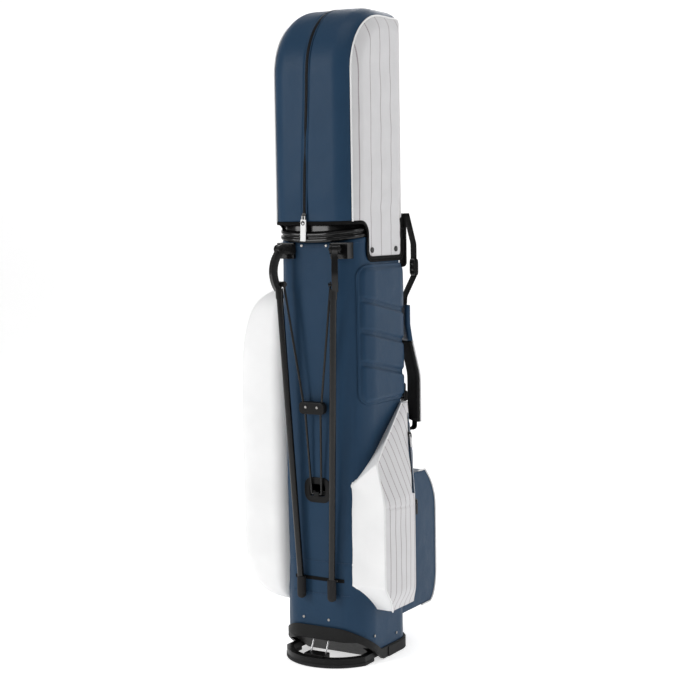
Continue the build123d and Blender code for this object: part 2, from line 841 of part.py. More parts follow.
with BuildPart() as hood_hem:
    with BuildSketch(Plane.XY.offset(skirt_bottom)):
        hood_section(hem_lip)
        hood_section(-hood_wall, Mode.SUBTRACT)
    extrude(amount=tongue_top - skirt_bottom)
    with BuildSketch(rim_plane()):
        hem_band(hem_rise, hem_rise + hem_height)
    extrude(amount=wide, both=True, mode=Mode.INTERSECT)
    add(tongue_edges.part)
    with BuildSketch(Plane.YZ):
        tongue_outline()
    extrude(amount=wide, both=True, mode=Mode.SUBTRACT)

with BuildPart() as hood_snaps:
    for side in (-1, 1):
        with BuildSketch(Plane.YZ.offset(side * hood_width / 2)):
            with Locations((tongue_front + 11, tongue_bottom + 14), (tongue_rear - 24, tongue_bottom + 14)):
                Circle(5.5)
        extrude(amount=side * 2)

hood_zip_bottom = (-12.0, hood_front, rim_front_z + hem_rise + hem_height + 1)
hood_zip_bend = (-1.0, hood_front, hood_top - hood_front_round)


def slider_frame(start, end, outward, travel_start):
    """Plane on a zip's surface at its slider: x follows the zip, z points outward."""
    along_zip = (Vector(*end) - Vector(*start)).normalized()
    normal = Vector(*outward).normalized()
    origin = Vector(*start) + along_zip * travel_start + normal * (zip_thick + fit_gap)
    return Plane(origin=origin, x_dir=along_zip, z_dir=normal)


slider_thick = 2.4
bridge_height = 2.6
bridge_bore = 2.0


def zip_slider(frame):
    """Slider with a small bridge that carries the puller."""
    with BuildPart() as slider:
        with BuildSketch(frame):
            RectangleRounded(12, 8.5, 2)
        extrude(amount=slider_thick)
        with BuildSketch(frame.offset(slider_thick)):
            Rectangle(7, 3)
        extrude(amount=bridge_height)
        bore = Plane(
            origin=frame.origin + frame.z_dir * (slider_thick + bridge_height / 2),
            x_dir=frame.x_dir,
            z_dir=frame.y_dir,
        )
        with BuildSketch(bore):
            Circle(bridge_bore / 2)
        extrude(amount=3, both=True, mode=Mode.SUBTRACT)
    return slider.part


def zip_puller(frame, length, width, hole=0.0):
    """Puller tab with a pin through the slider's bridge; it hangs along the frame's x."""
    height = slider_thick + bridge_height / 2
    with BuildPart() as puller:
        bore = Plane(
            origin=frame.origin + frame.z_dir * height,
            x_dir=frame.x_dir,
            z_dir=frame.y_dir,
        )
        with BuildSketch(bore):
            Circle(bridge_bore / 2 - running)
        extrude(amount=3.6, both=True)
        with BuildSketch(frame.offset(height - 0.7)):
            with Locations((3.4, -3), (3.4, 3)):
                Rectangle(8.4, 1.4)
            with Locations((6 + length / 2, 0)):
                RectangleRounded(length, width, 1.2)
            if hole > 0:
                with Locations((6 + hole + 1.8, 0)):
                    Circle(hole, mode=Mode.SUBTRACT)
        extrude(amount=1.4)
    return puller.part


def zip_chain(start, end, outward):
    """Straight zip lying on a surface."""
    span = Vector(*end) - Vector(*start)
    middle = Vector(*start) + span * 0.5
    with BuildPart() as chain:
        with BuildSketch(Plane(origin=middle, x_dir=span, z_dir=Vector(*outward))):
            Rectangle(span.length, zip_wide)
        extrude(amount=zip_thick)
    return chain.part


with BuildPart() as hood_zip_chain:
    with BuildSketch(Plane.YZ):
        hood_profile(zip_thick)
    extrude(amount=zip_wide / 2, both=True)
    add(hood_outer, mode=Mode.SUBTRACT)
    with BuildSketch(Plane.XY.offset(hood_zip_bend[2])):
        with Locations((0, hood_front)):
            Rectangle(wide, 340)
    extrude(amount=wide, mode=Mode.INTERSECT)
    add(zip_chain(hood_zip_bottom, hood_zip_bend, (0, -1, 0)))

hood_frame = slider_frame(hood_zip_bottom, hood_zip_bend, (0, -1, 0), 8)
hood_hang = Plane(origin=hood_frame.origin, x_dir=-hood_frame.x_dir, z_dir=hood_frame.z_dir)
with BuildPart() as hood_slider:
    add(zip_slider(hood_hang))

with BuildPart() as hood_tag:
    add(zip_puller(hood_hang, 42, 12, 2.6))

# ---------------------------------------------------------------- pockets
with BuildPart() as tube_block:
    with BuildSketch():
        body_section(fit_gap)
    extrude(amount=neck_top)

right_knee_low = 150.0
right_knee_high = 330.0
right_front = body_front + 7
right_shoulder_z = 404.0
right_top_inner = (body_half - 22, right_front, 360.0)  # where the slanted top meets the tube


def right_pocket_x(z):
    """Distance of the right pocket's face from the middle at height z, above its knee."""
    share = (z - right_knee_high) / (right_pocket_top - right_knee_high)
    return right_pocket_face_x - share * (right_pocket_face_x - body_half - 8)


right_edge_points = (
    (right_pocket_face_x - 14, -46, right_pocket_bottom),
    (right_pocket_face_x, right_front, right_knee_low + 9),
    (right_pocket_face_x, right_front, right_knee_high),
    (right_pocket_x(right_shoulder_z), right_front, right_shoulder_z),
    (right_pocket_x(right_pocket_top), 48, right_pocket_top),
)
with BuildPart() as right_pocket_piping:
    with BuildLine() as right_edge:
        FilletPolyline(*right_edge_points, radius=14)
    with BuildSketch(right_edge.line ^ 0):
        Circle(piping / 2)
    sweep(path=right_edge.line)

with BuildPart() as right_pocket:
    with BuildSketch(Plane.YZ):
        with BuildLine():
            Polyline(
                (right_front, right_knee_low + 9),
                (right_front, right_shoulder_z),
                (48, right_pocket_top),
                (84, right_pocket_top),
                (84, right_knee_low),
                (62, right_pocket_bottom),
                (-46, right_pocket_bottom),
                close=True,
            )
        make_face()
    extrude(amount=right_pocket_face_x + 5)
    with BuildSketch(Plane.XZ):
        with BuildLine():
            Polyline(
                (body_half / 2, right_pocket_bottom),
                (right_pocket_face_x - 14, right_pocket_bottom),
                (right_pocket_face_x, right_knee_low),
                (right_pocket_face_x, right_knee_high),
                (body_half + 8, right_pocket_top),
                (body_half / 2, right_pocket_top),
                close=True,
            )
        make_face()
    extrude(amount=wide, both=True, mode=Mode.INTERSECT)
    with BuildSketch():
        with BuildLine():
            Polyline(
                (body_half / 2, right_front),
                (right_pocket_face_x + 5, right_front),
                (right_pocket_face_x + 5, 22),
                (body_half, 84),
                (body_half / 2, 84),
                close=True,
            )
        make_face()
    extrude(amount=wide * 2, mode=Mode.INTERSECT)
    # slanted top, lower towards the tube
    along_edge = Vector(*right_edge_points[4]) - Vector(*right_top_inner)
    along_front = Vector(*right_edge_points[3]) - Vector(*right_top_inner)
    top_plane = Plane(origin=right_top_inner, z_dir=along_front.cross(along_edge))
    split(bisect_by=top_plane, keep=Keep.BOTTOM)
    add(tube_block.part, mode=Mode.SUBTRACT)
    add(right_pocket_piping.part, mode=Mode.SUBTRACT)

with BuildPart() as left_pocket:
    with BuildSketch(Plane.XZ.offset(-left_pocket_rear)):
        with BuildLine() as left_outline:
            FilletPolyline(
                (-body_half / 2, left_pocket_top),
                (-left_pocket_face_x + 34, left_pocket_top),
                (-left_pocket_face_x, (left_pocket_top + left_pocket_bottom) / 2 - 80),
                (-left_pocket_face_x + 6, left_pocket_bottom),
                (-body_half / 2, left_pocket_bottom + 12),
                radius=48,
            )
            Line((-body_half / 2, left_pocket_bottom + 12), (-body_half / 2, left_pocket_top))
        make_face()
    extrude(amount=left_pocket_rear - left_pocket_front)
    add(tube_block.part, mode=Mode.SUBTRACT)


def ball_outline():
    """Side view of the ball pocket's outer edge in y and z."""
    FilletPolyline(
        (body_rear - 2, ball_pocket_bottom),
        (ball_pocket_face_y - 30, ball_pocket_bottom + 4),
        (ball_pocket_face_y, ball_pocket_bottom + 66),
        (ball_pocket_face_y, ball_pocket_top - 70),
        (ball_pocket_face_y - 40, ball_pocket_top - 8),
        (body_rear - 2, ball_pocket_top),
        radius=26,
    )


with BuildPart() as ball_pocket_piping:
    for side in (-1, 1):
        with BuildSketch(Plane.YZ.offset(side * ball_pocket_half - piping / 2)):
            with BuildLine() as ball_edge:
                ball_outline()
            trace(ball_edge.line, line_width=piping)
            with Locations((body_rear - wide / 2 + 1, 200)):
                Rectangle(wide, wide * 2, mode=Mode.SUBTRACT)
        extrude(amount=piping)

with BuildPart() as ball_pocket:
    with BuildSketch(Plane.YZ.offset(-ball_pocket_half)):
        with BuildLine():
            ball_outline()
            Line((body_rear - 2, ball_pocket_top), (body_rear - 2, ball_pocket_bottom))
        make_face()
    extrude(amount=2 * ball_pocket_half)
    add(tube_block.part, mode=Mode.SUBTRACT)
    add(ball_pocket_piping.part, mode=Mode.SUBTRACT)

with BuildPart() as small_pocket:
    with BuildSketch(Plane.YZ.offset(-small_pocket_half)):
        with BuildLine():
            Polyline(
                (body_rear - 2, ball_pocket_top + fit_gap),
                (ball_pocket_face_y - 40, ball_pocket_top + fit_gap),
                (ball_pocket_face_y - 50, ball_pocket_top + 40),
                (body_rear + 30, small_pocket_top - 22),
                (body_rear + 8, small_pocket_top),
                (body_rear - 2, small_pocket_top),
                close=True,
            )
        make_face()
    extrude(amount=2 * small_pocket_half)
    add(tube_block.part, mode=Mode.SUBTRACT)

# ---------------------------------------------------------------- pocket zips
right_slope_x = right_pocket_x(right_pocket_top) - right_pocket_face_x
right_slope = Vector(right_slope_x, 0, right_pocket_top - right_knee_high)
right_normal = Vector(0, 1, 0).cross(right_slope).normalized()
right_zip_high = (right_pocket_x(484), 61, 484)
right_zip_low = (right_pocket_face_x, 19, right_knee_high)
left_zip_high = (-150, left_pocket_rear, 620)
left_zip_low = (-150, left_pocket_rear, 170)
ball_zip_high = (ball_pocket_half, body_rear + 23, 300)
ball_zip_low = (ball_pocket_half, body_rear + 23, 112)

with BuildPart() as pocket_zip_chains:
    add(zip_chain(right_zip_high, right_zip_low, right_normal))
    add(zip_chain(left_zip_high, left_zip_low, (0, 1, 0)))
    add(zip_chain(ball_zip_high, ball_zip_low, (1, 0, 0)))

right_frame = slider_frame(right_zip_high, right_zip_low, right_normal, 46)
left_frame = slider_frame(left_zip_high, left_zip_low, (0, 1, 0), 12)
ball_frame = slider_frame(ball_zip_high, ball_zip_low, (1, 0, 0), 10)

with BuildPart() as right_pocket_slider:
    add(zip_slider(right_frame))
with BuildPart() as right_pocket_puller:
    add(zip_puller(right_frame, 20, 7))
with BuildPart() as left_pocket_slider:
    add(zip_slider(left_frame))
with BuildPart() as left_pocket_puller:
    add(zip_puller(left_frame, 20, 7))
with BuildPart() as ball_pocket_slider:
    add(zip_slider(ball_frame))
with BuildPart() as ball_pocket_puller:
    add(zip_puller(ball_frame, 20, 7))

# ---------------------------------------------------------------- hip pad
with BuildPart() as hip_pad:
    with BuildSketch(Plane.XY.offset(hip_pad_bottom)):
        body_section(hip_pad_thick)
        body_section(fit_gap, Mode.SUBTRACT)
    extrude(amount=hip_pad_top - hip_pad_bottom)
    with BuildSketch(Plane.YZ):
        with Locations((-6, (hip_pad_top + hip_pad_bottom) / 2)):
            RectangleRounded(168, hip_pad_top - hip_pad_bottom, 26)
    extrude(amount=wide, mode=Mode.INTERSECT)

# ---------------------------------------------------------------- shoulder strap and rear handle
strap_turn = math.radians(strap_angle)
strap_out = Vector(math.cos(strap_turn), math.sin(strap_turn), 0)
strap_side = Vector(math.sin(strap_turn), -math.cos(strap_turn), 0)
strap_origin = (strap_seat[0], strap_seat[1], rim_front_z - 849)
strap_plane = Plane(origin=strap_origin, x_dir=strap_out, z_dir=strap_side)


def strap_band(points, radius, thick, width):
    """Band of webbing or padding that follows points in the strap's plane."""
    with BuildPart() as band:
        with BuildSketch(strap_plane):
            with BuildLine() as route:
                if len(points) > 2:
                    FilletPolyline(*points, radius=radius)
                else:
                    Line(*points)
            trace(route.line, line_width=thick)
        extrude(amount=width / 2, both=True)
    return band.part


handle_out = 25.0
with BuildPart() as rear_handle:
    handle_points = ((4, 778), (handle_out - 5, 778), (handle_out - 5, 886))
    add(strap_band(handle_points, 8, 10, 30))
    add(strap_band(((4, 853), (handle_out - 5, 853)), 8, 10, 30))
    with BuildSketch():
        body_section(fit_gap + binding_lip)
    extrude(amount=wide * 3, mode=Mode.SUBTRACT)
    add(top_cuff.part, mode=Mode.SUBTRACT)

with BuildPart() as strap_webbing:
    upper = ((handle_out + 2.8, 884), (43, 822), (43, 757))
    add(strap_band(upper, 30, webbing_thick, webbing_wide))
    middle = ((43, 757), (24, 716), (22, 690))
    add(strap_band(middle, 20, webbing_thick, webbing_wide))
    lower = ((48, 462), (48, 444), (19, 444), (18, 520))
    add(strap_band(lower, 12, webbing_thick, webbing_wide))

with BuildPart() as strap_buckles:
    for low, high in (((44, 757), (43, 792)), ((18.5, 503), (18, 524))):
        add(strap_band((low, high), 5, 7, webbing_wide + 8))
    add(strap_band(((13, 524), (13, 540)), 5, 12, webbing_wide + 4))
    add(strap_webbing.part, mode=Mode.SUBTRACT)
    with BuildSketch():
        body_section(fit_gap)
    extrude(amount=wide * 3, mode=Mode.SUBTRACT)

with BuildPart() as strap_end_cover:
    add(strap_band(((22, 700), (24, 660), (31, 626)), 60, strap_pad_thick + 1.6, strap_pad_wide - 2))
    add(strap_webbing.part, mode=Mode.SUBTRACT)

with BuildPart() as strap_pad:
    add(strap_band(((31, 625.5), (48, 556), (48, 460)), 110, strap_pad_thick, strap_pad_wide))
    add(strap_webbing.part, mode=Mode.SUBTRACT)

# ---------------------------------------------------------------- mirrored leg pieces
with BuildPart() as leg_bracket_left:
    mirror(leg_bracket_right.part, about=Plane.YZ)
with BuildPart() as leg_head_left:
    mirror(leg_head_right.part, about=Plane.YZ)
with BuildPart() as leg_tube_left:
    mirror(leg_tube_right.part, about=Plane.YZ)
with BuildPart() as leg_foot_left:
    mirror(leg_foot_right.part, about=Plane.YZ)
with BuildPart() as rod_left:
    mirror(rod_right.part, about=Plane.YZ)

# ---------------------------------------------------------------- labels and files
pieces = {
    "body_shell": body_shell,
    "side_bindings": side_bindings,
    "stays": stays,
    "top_cuff": top_cuff,
    "divider_grid": divider_grid,
    "divider_panels": divider_panels,
    "base_boot": base_boot,
    "heel_bumper": heel_bumper,
    "pedal_pins": pedal_pins,
    "pedal_frame": pedal_frame,
    "pedal_sole": pedal_sole,
    "wire_block": wire_block,
    "pedal_links": pedal_links,
    "push_wires": push_wires,
    "wire_yoke": wire_yoke,
    "slot_plate": slot_plate,
    "leg_bracket_right": leg_bracket_right,
    "leg_bracket_left": leg_bracket_left,
    "hinge_pins": hinge_pins,
    "leg_head_right": leg_head_right,
    "leg_head_left": leg_head_left,
    "leg_tube_right": leg_tube_right,
    "leg_tube_left": leg_tube_left,
    "leg_foot_right": leg_foot_right,
    "leg_foot_left": leg_foot_left,
    "rod_right": rod_right,
    "rod_left": rod_left,
    "lower_wires": lower_wires,
    "wire_clip": wire_clip,
    "clip_rivets": clip_rivets,
    "leg_keeper": leg_keeper,
    "body_rivets": body_rivets,
    "hood_band": hood_band,
    "hood_side_right": hood_side_right,
    "hood_side_left": hood_side_left,
    "hood_pipings": hood_pipings,
    "hood_hem": hood_hem,
    "hood_snaps": hood_snaps,
    "hood_zip_chain": hood_zip_chain,
    "hood_slider": hood_slider,
    "hood_tag": hood_tag,
    "right_pocket": right_pocket,
    "right_pocket_piping": right_pocket_piping,
    "left_pocket": left_pocket,
    "ball_pocket": ball_pocket,
    "ball_pocket_piping": ball_pocket_piping,
    "small_pocket": small_pocket,
    "pocket_zip_chains": pocket_zip_chains,
    "right_pocket_slider": right_pocket_slider,
    "right_pocket_puller": right_pocket_puller,
    "left_pocket_slider": left_pocket_slider,
    "left_pocket_puller": left_pocket_puller,
    "ball_pocket_slider": ball_pocket_slider,
    "ball_pocket_puller": ball_pocket_puller,
    "hip_pad": hip_pad,
    "rear_handle": rear_handle,
    "strap_webbing": strap_webbing,
    "strap_buckles": strap_buckles,
    "strap_end_cover": strap_end_cover,
    "strap_pad": strap_pad,
}
for name, piece in pieces.items():
    piece.part.label = name
    export_step(piece.part, f"parts/{name}.step")
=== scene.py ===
"""Looks of a golf stand bag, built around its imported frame."""

import math

import bmesh
import bpy
from mathutils import Matrix, Vector, noise


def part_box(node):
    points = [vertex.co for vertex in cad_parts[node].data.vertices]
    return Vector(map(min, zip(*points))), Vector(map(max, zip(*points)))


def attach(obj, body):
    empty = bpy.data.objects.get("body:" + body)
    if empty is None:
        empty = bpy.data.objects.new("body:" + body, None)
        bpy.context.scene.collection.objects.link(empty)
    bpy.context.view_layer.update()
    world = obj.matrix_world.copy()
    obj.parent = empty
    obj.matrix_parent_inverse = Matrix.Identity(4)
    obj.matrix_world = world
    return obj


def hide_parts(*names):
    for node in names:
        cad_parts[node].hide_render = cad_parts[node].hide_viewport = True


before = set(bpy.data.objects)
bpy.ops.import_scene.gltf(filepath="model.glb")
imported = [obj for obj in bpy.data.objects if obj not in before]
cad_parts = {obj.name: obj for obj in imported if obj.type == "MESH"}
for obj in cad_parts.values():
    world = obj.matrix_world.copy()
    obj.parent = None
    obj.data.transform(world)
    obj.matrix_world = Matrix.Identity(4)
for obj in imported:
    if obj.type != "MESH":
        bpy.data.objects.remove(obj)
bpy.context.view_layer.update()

bl_info = {
    "name": "Golf Stand Bag",
    "version": (1, 0, 0),
    "blender": (4, 5, 0),
    "location": "View3D > Sidebar > Stand Bag",
    "description": "Builds the cloth, straps and finishes of a golf stand bag",
    "category": "Add Mesh",
}

MM = 0.001


# ---------------------------------------------------------------- settings
def length(name, text, value):
    return bpy.props.FloatProperty(
        name=name, description=text, default=value * MM, unit="LENGTH", precision=4
    )


def colour(name, text, value):
    return bpy.props.FloatVectorProperty(
        name=name, description=text, default=value, size=3, min=0, max=1, subtype="COLOR"
    )


class BagSizes(bpy.types.PropertyGroup):
    wrinkle: length("Wrinkle depth", "Depth of the soft folds in the cloth", 1.6)
    pad_puff: length("Pad puff", "How far the hip pad's cushions stand up", 4.4)
    stripe_gap: length("Stripe gap", "Distance between the stripes on the hood", 39.0)
    pocket_stripe_gap: length("Pocket gap", "Distance between the stripes on the pocket", 20.0)
    stripe_width: length("Stripe width", "Width of one stitched stripe", 3.4)
    stitch: length("Stitch", "Length of one stitch and its gap", 4.2)
    piping: length("Piping", "Thickness of the piping", 3.6)
    binding: length("Binding", "Width of the black binding", 6.0)


class BagColours(bpy.types.PropertyGroup):
    navy: colour("Navy", "Main synthetic leather", (0.017, 0.045, 0.088))
    white: colour("White", "White synthetic leather", (0.88, 0.88, 0.88))
    cloth: colour("Striped cloth", "Ground of the striped cloth", (0.60, 0.595, 0.605))
    stripe: colour("Stripe", "Stitched stripe", (0.22, 0.17, 0.185))
    black: colour("Black", "Plastics, bindings and webbing", (0.006, 0.006, 0.0062))
    rubber: colour("Rubber", "Feet, heel and pedal sole", (0.018, 0.018, 0.019))
    steel: colour("Steel", "Bare wires and rivets", (0.60, 0.60, 0.61))


def sizes():
    return bpy.context.scene.stand_bag_sizes


def colours():
    return bpy.context.scene.stand_bag_colours


# ---------------------------------------------------------------- materials
class Value:
    """A number that varies over a surface and takes part in ordinary arithmetic."""

    def __init__(self, finish, socket):
        self.finish = finish
        self.socket = socket

    def maths(self, operation, *values):
        inputs = dict(enumerate(values))
        return self.finish.node("ShaderNodeMath", inputs, operation=operation)

    def __add__(self, other):
        return self.maths("ADD", self, other)

    def __sub__(self, other):
        return self.maths("SUBTRACT", self, other)

    def __mul__(self, other):
        return self.maths("MULTIPLY", self, other)

    def __truediv__(self, other):
        return self.maths("DIVIDE", self, other)

    def __rsub__(self, other):
        return self.maths("SUBTRACT", other, self)

    def __rtruediv__(self, other):
        return self.maths("DIVIDE", other, self)

    def __abs__(self):
        return self.maths("ABSOLUTE", self)

    def __lt__(self, other):
        return self.maths("LESS_THAN", self, other)

    def fraction(self):
        return self.maths("FRACT", self)

    def sine(self):
        return self.maths("SINE", self)

    def larger(self, other):
        return self.maths("MAXIMUM", self, other)

    def clamped(self):
        return self.finish.node("ShaderNodeClamp", {0: self})

    __radd__ = __add__
    __rmul__ = __mul__


class Finish:
    """One material, with its nodes."""

    def __init__(self, name, base, roughness=0.5, **constants):
        self.material = bpy.data.materials.new(name)
        self.material.use_nodes = True
        self.tree = self.material.node_tree
        self.tree.nodes.clear()
        end = self.tree.nodes.new("ShaderNodeOutputMaterial")
        self.shader = self.tree.nodes.new("ShaderNodeBsdfPrincipled")
        self.tree.links.new(self.shader.outputs[0], end.inputs["Surface"])
        self.material.diffuse_color = (*base, 1)
        self.set("Base Color", (*base, 1))
        self.set("Roughness", roughness)
        for key, value in constants.items():
            self.set(key.replace("_", " ").title(), value)

    def set(self, socket, value):
        """Give one of the shader's sockets a constant or a link."""
        target = self.shader.inputs[socket]
        if isinstance(value, Value):
            self.tree.links.new(value.socket, target)
        else:
            target.default_value = value

    def node(self, kind, inputs=(), output=0, **settings):
        """Add one node: its settings first, then its sockets' values or links."""
        item = self.tree.nodes.new(kind)
        for key, value in settings.items():
            setattr(item, key, value)
        for key, value in dict(inputs).items():
            if isinstance(value, Value):
                self.tree.links.new(value.socket, item.inputs[key])
            else:
                item.inputs[key].default_value = value
        return Value(self, item.outputs[output])

    def places(self):
        """Object coordinates in metres."""
        return self.node("ShaderNodeTexCoord", output="Object")

    def axes(self, source=None):
        """The x, y and z of a place as three values."""
        split = self.node("ShaderNodeSeparateXYZ", {0: source or self.places()})
        outputs = split.socket.node.outputs
        return [Value(self, outputs[i]) for i in range(3)]

    def surface(self):
        """The piece's own map, in metres along and across it."""
        return self.node("ShaderNodeUVMap", uv_map="UVMap")

    def noise(self, scale, detail=2.0, stretch=None):
        vector = self.places()
        if stretch:
            vector = self.node("ShaderNodeMapping", {0: vector, "Scale": stretch})
        inputs = {"Vector": vector, "Scale": scale, "Detail": detail, "Roughness": 0.5}
        return self.node("ShaderNodeTexNoise", inputs)

    def cells(self, scale, feature="F1"):
        inputs = {"Vector": self.places(), "Scale": scale}
        return self.node("ShaderNodeTexVoronoi", inputs, feature=feature)

    def mix(self, share, first, second):
        """Blend of two colours."""
        inputs = {0: share, 6: first, 7: second}
        return self.node("ShaderNodeMix", inputs, output=2, data_type="RGBA")

    def shade(self, base, amount, scale):
        """A colour with soft darker and lighter patches."""
        dark = (*[c * (1 - amount) for c in base], 1)
        light = (*[min(1, c * (1 + amount)) for c in base], 1)
        return self.mix(self.noise(scale), dark, light)

    def bump(self, height, depth, normal=None):
        """Small relief: depth in metres for a height of one."""
        inputs = {"Height": height, "Distance": depth, "Strength": 1.0}
        if normal:
            inputs["Normal"] = normal
        return self.node("ShaderNodeBump", inputs)

    def soft_edges(self, radius):
        """Normals rounded over a moulded piece's edges."""
        return self.node("ShaderNodeBevel", {"Radius": radius}, samples=6)


finishes = {}


def synthetic_leather(name, base, roughness=0.42, grain=0.00016, shine=0.12):
    """Coated cloth with a fine pebble grain and a soft sheen."""
    finish = Finish(name, base, roughness)
    finish.set("Specular IOR Level", shine)
    finish.set("Base Color", finish.shade(base, 0.07, 14))
    pebble = finish.cells(950, feature="SMOOTH_F1")
    fine = finish.noise(2600, 2.0)
    soft = finish.noise(38, 3.0)
    relief = finish.bump(pebble * 0.75 + fine * 0.25, grain)
    finish.set("Normal", finish.bump(soft, 0.0007, relief))
    finish.set("Roughness", finish.noise(60, 3.0) * 0.14 + (roughness - 0.07))
    return finish.material


def striped_cloth(name, gap, start, lean=0.0):
    """Light cloth with thin stitched stripes that run up it; lean tilts them above the seam."""
    base = colours().cloth
    finish = Finish(name, base, 0.78, sheen_weight=0.1, sheen_roughness=0.5)
    x, y, z = finish.axes()
    above = (z - POCKET_SEAM * MM).larger(0.0)
    place = ((y + above * lean) / gap + start).fraction()
    width = sizes().stripe_width / gap / 2
    line = ((width - abs(place - 0.5)) / width * 1.6).clamped()
    stitches = ((z / sizes().stitch) + 0.25 * (y * 900).sine()).fraction() < 0.7
    fray = finish.noise(500, 1.0) * 0.7 + 0.45
    stripe = line * (stitches * 0.45 + 0.55) * fray
    ground = finish.shade(base, 0.05, 30)
    finish.set("Base Color", finish.mix(stripe.clamped(), ground, (*colours().stripe, 1)))
    weave = (z * 7800).sine() * ((y + x) * 7800).sine()
    soft = finish.noise(45, 3.0)
    relief = finish.bump(weave * 0.5 + 0.5, 0.00009)
    raised = finish.bump(stripe, 0.00025, relief)
    finish.set("Normal", finish.bump(soft, 0.0009, raised))
    return finish.material


def webbing(name, base, rib=0.0012):
    """Ribbed woven tape."""
    finish = Finish(name, base, 0.72)
    finish.set("Specular IOR Level", 0.1)
    split = finish.axes(finish.surface())
    ribs = (split[0] * (2 * math.pi / rib)).sine()
    cross = (split[1] * (2 * math.pi / 0.0021)).sine()
    finish.set("Normal", finish.bump(ribs * 0.7 + cross * 0.3, 0.00022))
    finish.set("Base Color", finish.shade(base, 0.25, 260))
    return finish.material


def moulded(name, base, roughness, texture=0.00003, edge=0.0009, shine=0.16):
    """Moulded plastic with softened edges."""
    finish = Finish(name, base, roughness)
    finish.set("Specular IOR Level", shine)
    rounded_edges = finish.soft_edges(edge)
    grain = finish.noise(1800, 2.0)
    finish.set("Normal", finish.bump(grain, texture, rounded_edges))
    finish.set("Roughness", finish.noise(90, 3.0) * 0.16 + (roughness - 0.08))
    finish.set("Base Color", finish.shade(base, 0.12, 40))
    return finish.material


def coated_tube(name, base):
    """Glossy painted tube."""
    finish = Finish(name, base, 0.2)
    finish.set("Specular IOR Level", 0.35)
    finish.set("Roughness", finish.noise(70, 3.0) * 0.12 + 0.16)
    finish.set("Normal", finish.bump(finish.noise(500, 2.0), 0.000015))
    return finish.material


def bare_metal(name, base):
    finish = Finish(name, base, 0.3, metallic=1.0)
    finish.set("Roughness", finish.noise(400, 3.0, stretch=(1, 1, 0.05)) * 0.25 + 0.2)
    finish.set("Normal", finish.soft_edges(0.0005))
    return finish.material


def air_mesh(name, base):
    """Open knitted mesh of small round holes."""
    finish = Finish(name, base, 0.85)
    finish.set("Specular IOR Level", 0.05)
    holes = finish.cells(420)
    thread = (holes * 2.2).clamped()
    # The holes are real openings; their near-black colour is painted shade inside them.
    finish.set("Base Color", finish.mix(thread, (0.002, 0.002, 0.002, 1), (*base, 1)))
    finish.set("Normal", finish.bump(holes, 0.0009))
    return finish.material


def make_finishes():
    c = colours()
    finishes.update(
        navy=synthetic_leather("navy_leather", c.navy),
        white=synthetic_leather("white_leather", c.white, 0.46, 0.00012, 0.35),
        stripes=striped_cloth("striped_cloth", sizes().stripe_gap, 0.72),
        pocket_stripes=striped_cloth("pocket_striped_cloth", sizes().pocket_stripe_gap, 0.35, 0.3),
        piping=synthetic_leather("white_piping", (0.78, 0.78, 0.78), 0.4, 0.00005),
        binding=webbing("black_binding", c.black, rib=0.0009),
        webbing=webbing("black_webbing", c.black),
        gloss=moulded("gloss_plastic", c.black, 0.22, 0.00001, shine=0.3),
        plastic=moulded("satin_plastic", c.black, 0.38),
        rubber=moulded("dark_rubber", c.rubber, 0.68, 0.00008),
        boot=moulded("boot_plastic", (0.010, 0.010, 0.010), 0.5),
        tube=coated_tube("black_tube", (0.004, 0.004, 0.0042)),
        wire=coated_tube("black_wire", (0.005, 0.005, 0.0052)),
        steel=bare_metal("bare_steel", c.steel),
        rivet=bare_metal("rivet_steel", (0.30, 0.29, 0.28)),
        tag=moulded("white_tag", (0.82, 0.82, 0.81), 0.35),
        mesh=air_mesh("black_mesh", (0.02, 0.02, 0.021)),
        divider=synthetic_leather("divider_cloth", (0.02, 0.02, 0.022), 0.75),
        stay=moulded("grey_batten", (0.11, 0.11, 0.11), 0.5),
        stitch=synthetic_leather("navy_thread", (0.05, 0.085, 0.15), 0.7),
        zip=webbing("zip_coil", (0.012, 0.012, 0.014), rib=0.0016),
    )


# ---------------------------------------------------------------- shapes shared by the pieces
BODY = (97.0, 102.0, 55.0, -2.0)  # half width, half depth, corner, middle in y
CUFF = (92.0, 113.5, 60.0, -6.5)
HOOD = (96.5, 110.0, 45.0, -6.0)
RIM_Z = 849.0
RIM_DEPTH = 19.0
RIM_ARC = 533.0
TILT = 6.0 / 227.0
HOOD_TOP = 1284.0
BAND_HALF = 85.0
HEM_TURN = -84.0  # where the hem starts to curve down to the tongue
HEM_ROUND = 24.0
HEM_RISE = 4.5  # middle of the binding above the hood's lower edge
POCKET_FRONT = -97.0  # front face of the striped pocket
POCKET_SHOULDER = 404.0  # where its front edge turns back towards the top
POCKET_LOW = 159.0  # where its front edge turns back towards the bottom
POCKET_SEAM = 318.0  # seam across its face, above which the stripes lean


